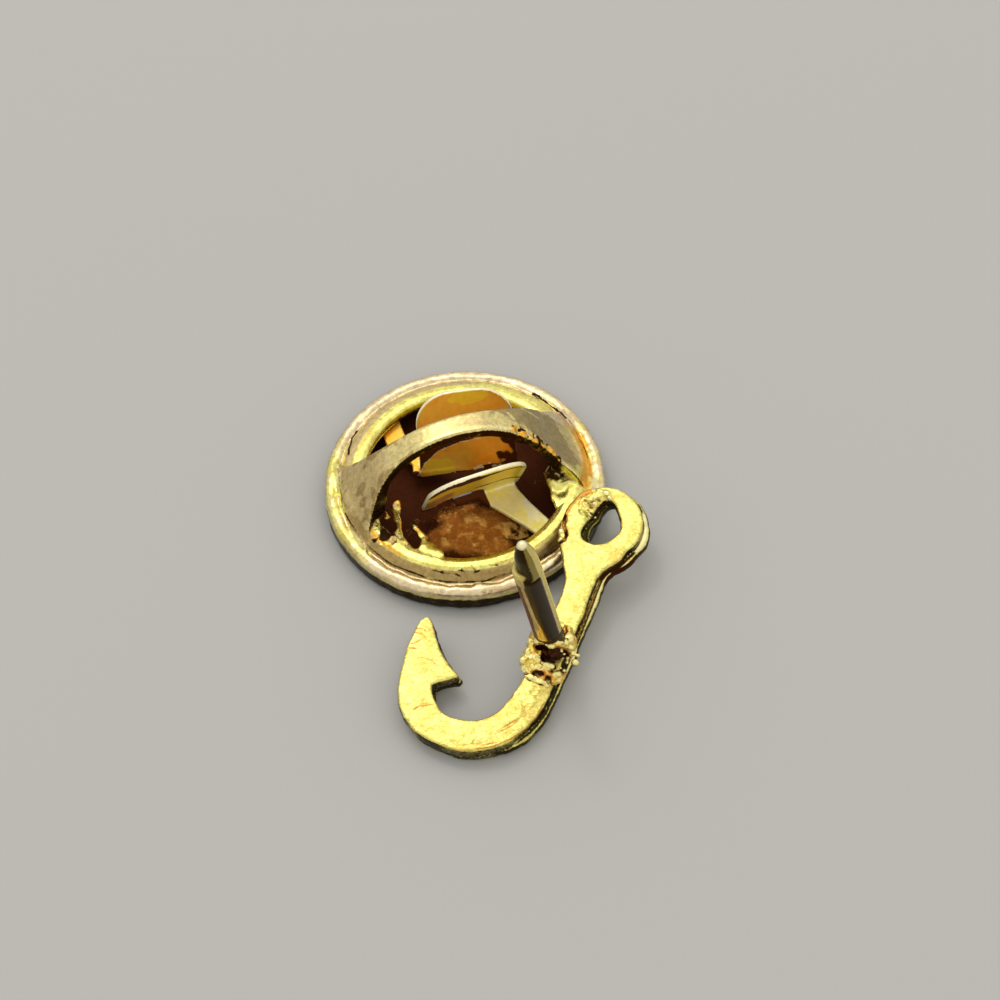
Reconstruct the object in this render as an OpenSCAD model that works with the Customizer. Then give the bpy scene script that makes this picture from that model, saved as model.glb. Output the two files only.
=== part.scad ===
// Fish-hook lapel pin with its butterfly clutch lying beside it, back side up.
// Millimetres. +Z is up, +X to the right, +Y away from the viewer. The origin is the
// middle of the whole part's footprint, on the surface that it lies on.

/* [Layout] */
// Sideways place of the clutch's centre
clutch_x = -0.89; // [-0.95:0.01:-0.8]
// Place of the clutch's centre away from the viewer
clutch_y = 3.63; // [3.5:0.01:3.7]
// Direction of the clutch's bridge, turned from +X
bridge_turn = 13.8; // [12:0.1:16]
// Sideways place of the hook's shank at the post
hook_x = 2.12; // [2.1:0.01:2.25]
// Place of the shank at the post away from the viewer
hook_y = -5.45; // [-5.6:0.01:-5.4]
// Height of the hook's front face at the post
hook_z = 0.58; // [0.57:0.005:0.61]
// Direction of the shank, turned from +Y
hook_turn = -23.2; // [-24:0.1:-22]
// Slope of the hook, whose eye rests on the clutch's rim
hook_slope = 6.8; // [6.6:0.1:7.2]

/* [Hook] */
// Thickness of the cast layer that carries the flat back face
back_t = 0.45; // [0.3:0.05:0.45]
// Thickness of the cast layer that carries the front
front_t = 0.45; // [0.3:0.05:0.45]
// Sideways step between the two cast layers
layer_step = 0.28; // [0:0.02:0.3]
// Outer radius of the bend
bend_r = 2.99; // [2.9:0.01:3.05]
// Inner radius of the bend
throat_r = 1.62; // [1.5:0.02:1.66]
// Width of the shank
shank_w = 1.2; // [1.1:0.05:1.3]
// Outer radius of the eye
eye_r = 1.6; // [1.5:0.02:1.64]
// Radius of the eye's hole at its lower end
eye_hole_r = 0.64; // [0.5:0.02:0.7]

/* [Post] */
// Radius of the post
post_r = 0.575; // [0.5:0.005:0.6]
// Length of the post above the hook's back face
post_len = 8.4; // [7.5:0.1:8.6]
// Height of the shoulder where the post narrows
shoulder_h = 6.2; // [5.5:0.1:6.4]
// Radius of the narrow end above the shoulder
nose_r = 0.49; // [0.4:0.01:0.5]
// Lean of the post towards the bend's side
post_lean = 4.9; // [0:0.1:6]
// Height of the solder collar round the post's foot
collar_h = 0.4; // [0.3:0.05:0.5]

/* [Clutch] */
// Outer radius of the clutch over its rolled rim
clutch_r = 5.75; // [5.6:0.01:5.8]
// Height of the rolled rim
rim_h = 1.15; // [1.05:0.05:1.2]
// Width of the rolled rim
rim_w = 0.6; // [0.5:0.02:0.64]
// Height of the ring round the windows
ring_h = 1.5; // [1.4:0.05:1.6]
// Radius of the windows' round edge
window_r = 4.05; // [4:0.05:4.3]
// Thickness of the cap's sheet
sheet_t = 0.35; // [0.3:0.05:0.4]
// Radius of the hole that takes the post
hole_r = 0.62; // [0.6:0.01:0.65]
// Thickness of the base plate
base_t = 0.24; // [0.2:0.02:0.26]

/* [Bridge] */
// Height of the bridge's top
bridge_h = 4.91; // [4.7:0.01:5]
// Thickness of the bridge's sheet
bridge_t = 0.45; // [0.35:0.05:0.5]
// Width of the bridge at its top
bridge_w = 1.02; // [0.9:0.02:1.1]
// Radius of the bridge's arc
arc_r = 4.43; // [4.4:0.01:4.6]
// Distance of the arc's top from the clutch's centre, towards the right foot
arc_shift = -0.16; // [-0.2:0.01:0.1]

/* [Spring wings] */
// Turn of the far wing
far_turn = 5.8; // [4:0.1:10]
// Turn of the near wing
near_turn = 18.8; // [14:0.1:20]
// Half width of the far wing
far_w = 2; // [1.9:0.02:2.1]
// Half width of the near wing
near_w = 2.2; // [2:0.02:2.24]
// Outward lean of the far wing
far_lean = 20; // [18:1:22]
// Outward lean of the near wing
near_lean = 25; // [24:1:32]
// Sideways place of the far wing along its own line
far_shift = 0.28; // [0:0.02:0.4]
// Sideways place of the near wing along its own line
near_shift = -0.05; // [-0.2:0.05:0.2]
// Height of a wing along its slope
wing_len = 3.9; // [3.6:0.05:4]
// Radius of a wing's two corners
wing_corner = 1.5; // [1.2:0.05:1.8]
// Thickness of the spring's strip
strip_t = 0.22; // [0.18:0.02:0.24]

/* [Hidden] */
$fn = 64;

hook_t = back_t + front_t;
// centre of the bend in the hook's own plane, whose origin is the shank at the post
bend_x = 0.6 - bend_r;
bend_y = -1.97;
// the shank's two sides
shank_right = 0.68;
shank_left = shank_right - shank_w;
// the eye's lower and upper centres, and its hole's upper radius
eye_x = 0.05;
eye_y = 6.22;
eye_top_y = 6.62;
hole_top_y = 6.98;
hole_top_r = 0.5;
// where the post stands on the shank, and how it leans along the shank
post_x = 0;
post_y = 0.62;
post_back_lean = 2.5;

rim_mid_r = clutch_r - rim_w / 2;
rim_in_r = clutch_r - rim_w;
slope_r = 4.97;
base_z = 0.08;
base_r = rim_in_r - 0.05;
// the bridge's arc ends this far from its top on both sides, and a straight foot follows
arc_half = 3.81;
foot_end = 5;
foot_z = 1.2;
// how the bridge widens towards its left and right feet
left_flare_w = 2.2;
left_flare_power = 5.45;
right_flare_w = 1.87;
right_flare_power = 2.51;
// the spring's two wings stand this far from the post's axis, on legs at this height
jaw_gap = 0.6;
leg_z = 0.8;

function arc_points(cx, cy, r, from, to, steps) =
    [for (i = [0:steps]) let (a = from + (to - from) * i / steps) [cx + r * cos(a), cy + r * sin(a)]];

// half width of the bridge at a distance s from its middle, with s below 0 towards the left foot
function bridge_half(s) = bridge_w / 2 + (s < 0
    ? left_flare_w * pow(-s / foot_end, left_flare_power)
    : right_flare_w * pow(s / foot_end, right_flare_power));

// Hook: a flat casting in two layers with a soldered post

module bend_outline() {
    difference() {
        translate([bend_x, bend_y]) circle(r = bend_r);
        translate([bend_x, bend_y - 0.08]) circle(r = throat_r);
        // open the ring above the bend's centre, between the point and the shank
        translate([bend_x - bend_r, bend_y]) square([2 * bend_r, bend_r]);
    }
}

module point_outline() {
    outer = bend_x - bend_r;
    polygon([
        [outer, bend_y - 0.02],
        [outer - 0.06, -0.9],
        [outer - 0.02, -0.3],
        [-5.25, 0.2],
        [-4.95, 0],
        [-4.2, -0.87],
        [-3.04, -1.84],
        [-3.47, -2.2],
        [-3.86, -2.5],
        [bend_x - throat_r, bend_y - 0.3]
    ]);
}

module shank_outline() {
    polygon([
        [bend_x + throat_r, bend_y - 0.1],
        [bend_x + bend_r, bend_y - 0.1],
        [shank_right, 0],
        [shank_right, 4.1],
        [1.3, 5],
        [1.5, 5.5],
        [-1.4, 5.5],
        [-1.15, 4.6],
        [shank_left, 3.3],
        [shank_left, 0]
    ]);
}

module eye_outline() {
    translate([eye_x, eye_y]) circle(r = eye_r);
    translate([eye_x - eye_r, eye_y]) square([2 * eye_r, eye_top_y - eye_y]);
    translate([eye_x, eye_top_y]) circle(r = eye_r);
}

module eye_hole_outline() {
    translate([0, eye_y]) circle(r = eye_hole_r);
    polygon([
        [-eye_hole_r, eye_y],
        [eye_hole_r, eye_y],
        [hole_top_r, hole_top_y],
        [-hole_top_r, hole_top_y]
    ]);
    translate([0, hole_top_y]) circle(r = hole_top_r);
}

module hook_outline() {
    difference() {
        union() {
            bend_outline();
            point_outline();
            shank_outline();
            eye_outline();
        }
        eye_hole_outline();
    }
}

module post() {
    // the foot ends inside the solder collar, which is wider than the shank is on one side
    sink = 0.04;
    tip_r = 0.28;
    waist_r = nose_r * 0.92;
    nose_h = post_len - shoulder_h;
    // the nose narrows slowly at first, and faster near the tip
    waist_h = nose_h * 0.5;
    translate([0, 0, -sink]) cylinder(r = post_r, h = shoulder_h + sink);
    translate([0, 0, shoulder_h]) cylinder(r1 = nose_r, r2 = waist_r, h = waist_h);
    translate([0, 0, shoulder_h + waist_h])
        cylinder(r1 = waist_r, r2 = tip_r, h = nose_h - waist_h - tip_r * 0.5);
    translate([0, 0, post_len - tip_r]) sphere(r = tip_r);
}

module solder() {
    // each lump: place across and along the shank, and radius
    lumps = [[0.1, -0.35, 0.45], [-0.5, -0.1, 0.42], [0.6, 0.05, 0.42], [-0.3, -0.75, 0.4], [0.45, -0.7, 0.4]];
    translate([post_x, post_y, -0.1]) cylinder(r = post_r + 0.3, h = collar_h + 0.1);
    for (lump = lumps)
        translate([lump[0], lump[1], 0]) sphere(r = lump[2]);
}

module hook() color("gold") {
    translate([hook_x, hook_y, hook_z]) rotate([hook_slope, 0, hook_turn]) {
        translate([layer_step, 0.3 * layer_step, 0]) linear_extrude(height = front_t) hook_outline();
        translate([0, 0, front_t]) linear_extrude(height = back_t) hook_outline();
        translate([0, 0, hook_t]) {
            translate([post_x, post_y, 0]) rotate([post_back_lean, -post_lean, 0]) post();
            solder();
        }
    }
}

// Clutch: a stamped cap with a bridge over its middle, and a base plate inside its rim

module on_clutch(turn) {
    translate([clutch_x, clutch_y, 0]) rotate([0, 0, turn]) children();
}

module cap_profile() {
    bead_r = rim_w / 2;
    translate([rim_mid_r, bead_r]) circle(r = bead_r, $fn = 32);
    translate([rim_in_r, bead_r]) square([rim_w, rim_h - rim_w]);
    translate([rim_mid_r, rim_h - bead_r]) circle(r = bead_r, $fn = 32);
    shoulder = 0.3;
    polygon(concat(
        [[rim_in_r + 0.2, rim_h - 0.5], [rim_in_r + 0.12, rim_h - 0.15]],
        arc_points(slope_r - shoulder, ring_h - shoulder, shoulder, 20, 90, 5),
        [[window_r + 0.1, ring_h], [window_r, ring_h - 0.1]],
        [[window_r, ring_h - sheet_t], [slope_r - shoulder, ring_h - sheet_t]],
        [[slope_r - 0.15, ring_h - sheet_t - 0.15], [rim_in_r, rim_h - 0.6]]
    ));
}

// area under the bridge's top surface, less a depth below it, seen from the side
module arch_area(depth) {
    centre_z = bridge_h - arc_r;
    half_angle = asin(arc_half / arc_r);
    // where a straight foot meets the arc, and where it reaches the rim
    function corner(side) = [arc_shift + side * arc_half, centre_z + arc_r * cos(half_angle)];
    function slope(side) = atan((corner(side)[1] - foot_z) / (foot_end - side * corner(side)[0]));
    // the foot's line, moved inwards by the depth and carried on below the rim's top
    function foot(side, z) = [
        side * (foot_end - depth * sin(slope(side)) + (foot_z - depth * cos(slope(side)) - z) / tan(slope(side))),
        z
    ];
    bottom_z = 0.5;
    polygon(concat(
        [foot(1, bottom_z)],
        arc_points(arc_shift, centre_z, arc_r - depth, 90 - half_angle, 90 + half_angle, 18),
        [foot(-1, bottom_z)]
    ));
}

module arch_band(depth) {
    rotate([90, 0, 0]) linear_extrude(height = 12, center = true) difference() {
        arch_area(0);
        arch_area(depth);
    }
}

// the bridge's waisted outline seen from above, less a margin on both sides
module waist_outline(margin) {
    reach = foot_end + 0.3;
    steps = 24;
    side = [for (i = [0:steps]) let (s = -reach + 2 * reach * i / steps) [s, bridge_half(s) - margin]];
    back = [for (i = [steps:-1:0]) [side[i][0], -side[i][1]]];
    polygon(concat(side, back));
}

module bridge() {
    foot_wall = 0.35;
    intersection() {
        arch_band(bridge_t);
        translate([0, 0, 0.5]) linear_extrude(height = 6) waist_outline(0);
        cylinder(r = rim_mid_r - 0.05, h = 6);
    }
    // side walls of the two feet, down to the ring
    intersection() {
        rotate([90, 0, 0]) linear_extrude(height = 12, center = true) arch_area(0);
        translate([0, 0, ring_h - sheet_t]) linear_extrude(height = 6) difference() {
            waist_outline(0);
            waist_outline(foot_wall);
            square([7.2, 12], center = true);
        }
        cylinder(r = rim_mid_r - 0.05, h = 6);
    }
}

module clutch_cap() color("darkkhaki") {
    on_clutch(bridge_turn) {
        difference() {
            rotate_extrude($fn = 96) cap_profile();
            // the ring is cut away under the bridge's feet
            intersection() {
                translate([0, 0, 0.5]) linear_extrude(height = 3) waist_outline(0.2);
                cylinder(r = slope_r - 0.1, h = 4);
            }
        }
        bridge();
    }
}

module clutch_base() color("peru") {
    translate([clutch_x, clutch_y, base_z]) difference() {
        cylinder(r = base_r, h = base_t, $fn = 96);
        translate([0, 0, -1]) cylinder(r = hole_r, h = 3);
    }
}

// Spring wing: a rounded tab that leans outwards, on a leg tucked under the cap's ring

module wing_outline(half_w) {
    translate([-half_w, 0]) square([2 * half_w, wing_len - wing_corner]);
    translate([wing_corner - half_w, 0]) square([2 * (half_w - wing_corner), wing_len]);
    for (side = [-1, 1])
        translate([side * (half_w - wing_corner), wing_len - wing_corner]) circle(r = wing_corner);
}

module leg_outline() {
    polygon([
        [-0.3, 0.7], [-1.85, 0.7], [-2.05, 1.5], [-2.85, 3.2], [-2.85, 3.5],
        [-2.15, 3.75], [-1.85, 3.1], [-0.75, 1.5]
    ]);
}

module wing(half_w, lean, shift) {
    translate([shift, jaw_gap + strip_t, leg_z + 0.05]) rotate([90 - lean, 0, 0])
        linear_extrude(height = strip_t) wing_outline(half_w);
    translate([0, 0, leg_z]) linear_extrude(height = strip_t) leg_outline();
}

module wing_far() color("orange") {
    on_clutch(far_turn) wing(far_w, far_lean, far_shift);
}

module wing_near() color("goldenrod") {
    on_clutch(near_turn + 180) wing(near_w, near_lean, -near_shift);
}

hook();
clutch_cap();
clutch_base();
wing_far();
wing_near();
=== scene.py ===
"""Looks of a gold-plated fish-hook lapel pin and its butterfly clutch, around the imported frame.

Shapes are worked out in millimetres, each in its own piece's axes, and turned to metres when its
mesh is made. A shape is a field: a number at each point of a grid that is below 0 inside the metal.
"""
import math

import bpy
import numpy as np
from mathutils import Matrix, Vector


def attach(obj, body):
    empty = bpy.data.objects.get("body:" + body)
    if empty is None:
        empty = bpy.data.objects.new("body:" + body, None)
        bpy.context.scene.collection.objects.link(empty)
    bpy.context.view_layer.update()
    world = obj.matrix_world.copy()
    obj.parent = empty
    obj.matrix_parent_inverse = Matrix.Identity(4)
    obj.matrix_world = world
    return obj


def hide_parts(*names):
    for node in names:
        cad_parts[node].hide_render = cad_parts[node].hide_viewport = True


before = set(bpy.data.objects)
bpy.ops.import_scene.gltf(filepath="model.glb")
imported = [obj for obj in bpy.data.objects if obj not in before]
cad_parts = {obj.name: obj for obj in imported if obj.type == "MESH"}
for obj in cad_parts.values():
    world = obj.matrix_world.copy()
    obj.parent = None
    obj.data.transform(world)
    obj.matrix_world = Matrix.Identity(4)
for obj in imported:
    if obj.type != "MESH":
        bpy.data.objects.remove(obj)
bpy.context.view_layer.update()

MM = 0.001
PIN = "pin_and_clutch"

# Places and sizes that repeat the part's own, in mm and degrees: the clutch, the hook and its post
CLUTCH_AT = (-0.89, 3.63, 0)
BRIDGE_TURN = 13.8
HOOK_AT = (2.12, -5.45, 0.58)
HOOK_TURN = -23.2
HOOK_SLOPE = 6.8
LAYER_T = 0.45
BACK_Z = 2 * LAYER_T
LAYER_STEP = (0.257, 0.084)
POST_FOOT = (0, 0.62)
POST_LEAN = 4.9
POST_BACK_LEAN = 2.5
POST_R = 0.575
SHOULDER_H = 6.2
POST_LEN = 8.4
# The photograph's view: how far it looks down and how far it rolls, in degrees, and the camera's distance
VIEW_DOWN = 53.7
VIEW_ROLL = 2.7
VIEW_DISTANCE = 150
# the picture's side in pixels, the pixels that show a mm of the clutch, and where its middle shows
PICTURE_SIDE = 1000
PIXELS_PER_MM = 140 / 5.75
CLUTCH_PIXEL = (465, 487)
CLUTCH_MIDDLE_H = 0.6


# Rotations and places

def turn(axis, degrees):
    """4x4 rotation about an axis letter."""
    return Matrix.Rotation(math.radians(degrees), 4, axis)


def place(x, y, z):
    """4x4 shift to a place."""
    return Matrix.Translation((x, y, z))


HOOK_FRAME = place(*HOOK_AT) @ turn("Z", HOOK_TURN) @ turn("X", HOOK_SLOPE)
POST_FRAME = (HOOK_FRAME @ place(*POST_FOOT, BACK_Z)
              @ turn("Y", -POST_LEAN) @ turn("X", POST_BACK_LEAN))
CLUTCH_FRAME = place(*CLUTCH_AT) @ turn("Z", BRIDGE_TURN)
# the photograph's line of sight, and the same in the hook's own axes
SIGHT = Vector((0, math.cos(math.radians(VIEW_DOWN)), -math.sin(math.radians(VIEW_DOWN))))
HOOK_SIGHT = HOOK_FRAME.to_3x3().inverted() @ SIGHT
# how far that line moves sideways, in x and y, per mm that it rises, and the way to the picture's right
SIGHT_SLOPE = (HOOK_SIGHT.x / HOOK_SIGHT.z, HOOK_SIGHT.y / HOOK_SIGHT.z)
VIEW_RIGHT = (math.cos(math.radians(HOOK_TURN)), -math.sin(math.radians(HOOK_TURN)))


# Metal shapes as fields

def merge(a, b, fillet):
    """Two metals run together, with a fillet about that wide in mm."""
    h = np.clip(0.5 + 0.5 * (b - a) / fillet, 0, 1)
    return b + (a - b) * h - fillet * h * (1 - h)


def keep_both(a, b, fillet):
    """What is inside a and b, with its edges rounded."""
    return -merge(-a, -b, fillet)


def cut(a, b, fillet):
    """a with b cut out of it, with the cut's edges rounded."""
    return keep_both(a, -b, fillet)


def ball(x, y, z, centre, radius, stretch=(1, 1, 1)):
    """A bead or pit: distance to a stretched sphere."""
    parts = [((c - m) / s) ** 2 for c, m, s in zip((x, y, z), centre, stretch)]
    return (np.sqrt(parts[0] + parts[1] + parts[2]) - radius) * min(stretch)


def outline_distance(x, y, outline):
    """Signed distance from points to a closed outline, below 0 inside it."""
    nearest = np.full(np.broadcast(x, y).shape, 1e9)
    inside = np.zeros(nearest.shape, bool)
    for (ax, ay), (bx, by) in zip(outline, np.roll(outline, -1, axis=0)):
        ex, ey = bx - ax, by - ay
        along = np.clip(((x - ax) * ex + (y - ay) * ey) / (ex * ex + ey * ey + 1e-12), 0, 1)
        nearest = np.minimum(nearest, (x - ax - along * ex) ** 2 + (y - ay - along * ey) ** 2)
        if ay != by:
            inside ^= ((ay > y) != (by > y)) & (x < ex * (y - ay) / ey + ax)
    return np.where(inside, -1, 1) * np.sqrt(nearest)


def path_distance(x, y, path):
    """Distance from points to an open path, and how far along the path the nearest spot is."""
    nearest = np.full(np.broadcast(x, y).shape, 1e9)
    run = np.zeros(nearest.shape)
    start = 0
    for (ax, ay), (bx, by) in zip(path[:-1], path[1:]):
        ex, ey = bx - ax, by - ay
        length = math.hypot(ex, ey)
        along = np.clip(((x - ax) * ex + (y - ay) * ey) / length ** 2, 0, 1)
        d = (x - ax - along * ex) ** 2 + (y - ay - along * ey) ** 2
        closer = d < nearest
        nearest = np.where(closer, d, nearest)
        run = np.where(closer, start + along * length, run)
        start += length
    return np.sqrt(nearest), run


def smooth_outline(points, steps=6):
    """A closed line curved through the points. A point with a third value of 1 stays sharp."""
    knots = np.array([p[:2] for p in points], float)
    sharp = [len(p) > 2 for p in points]
    count = len(points)
    line = []
    for i in range(count):
        a, b, c, d = (knots[(i + k) % count] for k in (-1, 0, 1, 2))
        out_b = (c - b) if sharp[i] else (c - a) / 2
        into_c = (c - b) if sharp[(i + 1) % count] else (d - b) / 2
        for t in np.arange(steps) / steps:
            line.append((2 * t ** 3 - 3 * t ** 2 + 1) * b + (t ** 3 - 2 * t ** 2 + t) * out_b
                        + (3 * t ** 2 - 2 * t ** 3) * c + (t ** 3 - t ** 2) * into_c)
    return np.array(line)


def arc(cx, cy, r, start, end, steps):
    """Points on a circle's arc, with angles in degrees."""
    angles = np.radians(np.linspace(start, end, steps))
    return np.stack([cx + r * np.cos(angles), cy + r * np.sin(angles)], 1)


def slab(distance, z, low, high, round_r):
    """An outline's field made into a plate from low to high, with rounded edges."""
    across = distance + round_r
    up = np.abs(z - (low + high) / 2) - (high - low) / 2 + round_r
    outside = np.sqrt(np.maximum(across, 0) ** 2 + np.maximum(up, 0) ** 2)
    return np.minimum(np.maximum(across, up), 0) + outside - round_r


def lumps(points, size, seed):
    """Smooth random heights from -1 to 1, whose bumps stand about size mm apart."""
    table = np.random.default_rng(seed).uniform(-1, 1, (24, 24, 24))
    at = points / size
    low = np.floor(at).astype(int)
    part = at - low
    part = part * part * (3 - 2 * part)
    total = np.zeros(len(points))
    for corner in np.ndindex(2, 2, 2):
        weight = np.prod(np.where(corner, part, 1 - part), axis=1)
        total += weight * table[tuple(((low + corner) % 24).T)]
    return total


def flat_lumps(x, y, size, seed):
    """Smooth random heights over a flat grid."""
    flat_x, flat_y = np.broadcast_arrays(x, y)
    points = np.stack([flat_x.ravel(), flat_y.ravel(), np.zeros(flat_x.size)], 1)
    return lumps(points, size, seed).reshape(flat_x.shape)


def grain(points, size, seed, layers=3):
    """Rough random heights: lumps of several sizes, each half the one before."""
    return sum(lumps(points + 7.3 * k, size / 2 ** k, seed + k) / 2 ** k for k in range(layers))


def fade(value, edge, width):
    """1 well below the edge, 0 well above it, and smooth between."""
    t = np.clip((edge - value) / width + 0.5, 0, 1)
    return t * t * (3 - 2 * t)


def band(value, middle, half, width):
    """1 where a value is within half of the middle, and smooth at both edges."""
    return fade(np.abs(value - middle), half, width)


def between(value, low, high):
    """True where a value lies between two others."""
    return (value > low) & (value < high)


def most(*marks):
    """The strongest of several marks at each point."""
    return np.maximum.reduce(marks)


def near(points, places, reach):
    """How close each point is to any of the places: 1 at one, 0 beyond reach."""
    return most(*(fade(np.hypot(points[:, 0] - px, points[:, 1] - py), reach * 0.75, reach * 0.5)
                  for px, py, *_ in places))


def along_lines(points, lines, width):
    """1 on any of the lines, each a list of places, and 0 away from them."""
    return most(*(fade(path_distance(points[:, 0], points[:, 1], line)[0], width / 2, width * 0.6)
                  for line in lines))


# Meshes

def grid(low, high, cell):
    """Three axes of grid points, shaped so that they combine into a block."""
    x, y, z = (np.arange(a, b + cell, cell) for a, b in zip(low, high))
    return x[:, None, None], y[None, :, None], z[None, None, :]


def skin(field, low, cell):
    """Points and four-sided faces of the surface where a field is 0."""
    shape = np.array(field.shape)
    spots, corners, flips = [], [], []
    for axis in range(3):
        near_end, far_end = [slice(None)] * 3, [slice(None)] * 3
        near_end[axis], far_end[axis] = slice(0, -1), slice(1, None)
        before, after = field[tuple(near_end)], field[tuple(far_end)]
        at = np.argwhere((before < 0) != (after < 0))
        a, b = (axis + 1) % 3, (axis + 2) % 3
        inner = (at[:, a] > 0) & (at[:, b] > 0) & (at[:, a] < shape[a] - 1) & (at[:, b] < shape[b] - 1)
        at = at[inner]
        v0, v1 = before[tuple(at.T)], after[tuple(at.T)]
        spot = at.astype(float)
        spot[:, axis] += v0 / (v0 - v1)
        ring = []
        for da, db in ((0, 0), (-1, 0), (-1, -1), (0, -1)):
            cell_at = at.copy()
            cell_at[:, a] += da
            cell_at[:, b] += db
            ring.append(np.ravel_multi_index(cell_at.T, shape))
        spots.append(spot)
        corners.append(np.stack(ring, 1))
        flips.append(v0 >= 0)
    spots, corners, flips = np.concatenate(spots), np.concatenate(corners), np.concatenate(flips)
    ids, inverse = np.unique(corners, return_inverse=True)
    inverse = inverse.reshape(corners.shape)
    points = np.zeros((len(ids), 3))
    count = np.bincount(inverse.ravel(), minlength=len(ids))
    for k in range(3):
        points[:, k] = np.bincount(inverse.ravel(), np.repeat(spots[:, k], 4), len(ids)) / count
    faces = np.where(flips[:, None], inverse[:, ::-1], inverse)
    return points * cell + np.array(low), faces


def surface_ways(points, faces):
    """The outward direction at each point of a mesh."""
    a, b, c, d = (points[faces[:, k]] for k in range(4))
    face_way = np.cross(c - a, d - b)
    ways = np.zeros_like(points)
    for k in range(4):
        for m in range(3):
            ways[:, m] += np.bincount(faces[:, k], face_way[:, m], len(points))
    return ways / np.maximum(np.linalg.norm(ways, axis=1, keepdims=True), 1e-12)


def relaxed(points, faces, rounds):
    """Points moved towards the middle of their neighbours and back, to take out the grid's steps."""
    pairs = np.concatenate([faces[:, [k, (k + 1) % 4]] for k in range(4)])
    pairs = np.concatenate([pairs, pairs[:, ::-1]])
    count = np.bincount(pairs[:, 0], minlength=len(points))[:, None]
    for step in range(rounds):
        pull = 0.5 if step % 2 == 0 else -0.52
        sums = [np.bincount(pairs[:, 0], points[pairs[:, 1], m], len(points)) for m in range(3)]
        points = points + pull * (np.stack(sums, 1) / count - points)
    return points


def shaped(field, low, cell, rounds):
    """Points, faces and outward ways of a field's surface, relaxed by some rounds."""
    points, faces = skin(field, low, cell)
    points = relaxed(points, faces, rounds)
    return points, faces, surface_ways(points, faces)


def make_piece(name, points, faces, piece_frame, finish, body, node, masks):
    """A named piece of metal from mm points in its own axes, with its finish, body and CAD node."""
    mesh = bpy.data.meshes.new(name)
    matrix = np.array(piece_frame)
    world = (points @ matrix[:3, :3].T + matrix[:3, 3]) * MM
    mesh.from_pydata(world.tolist(), [], [list(map(int, f)) for f in faces])
    mesh.polygons.foreach_set("use_smooth", np.ones(len(mesh.polygons), bool))
    for mask, values in masks.items():
        layer = mesh.attributes.new(mask, "FLOAT", "POINT")
        layer.data.foreach_set("value", np.clip(values, 0, 1).astype(np.float32))
    mesh.update()
    piece = bpy.data.objects.new(name, mesh)
    bpy.context.scene.collection.objects.link(piece)
    mesh.materials.append(finish)
    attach(piece, body)
    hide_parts(node)
    return piece


# Finishes

def colour(code):
    """Linear colour of an sRGB hex code."""
    parts = [int(code[i:i + 2], 16) / 255 for i in (1, 3, 5)]
    return tuple(p / 12.92 if p <= 0.04045 else ((p + 0.055) / 1.055) ** 2.4 for p in parts) + (1,)


def put(tree, kind, sockets=None, out=0, **settings):
    """Adds a shader node with its settings, and with values or links for its inputs. Gives an output."""
    made = tree.nodes.new("ShaderNode" + kind)
    for key, value in settings.items():
        setattr(made, key, value)
    for key, value in (sockets or {}).items():
        if isinstance(value, bpy.types.NodeSocket):
            tree.links.new(value, made.inputs[key])
        else:
            made.inputs[key].default_value = value
    return made.outputs[out] if made.outputs else None


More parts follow.
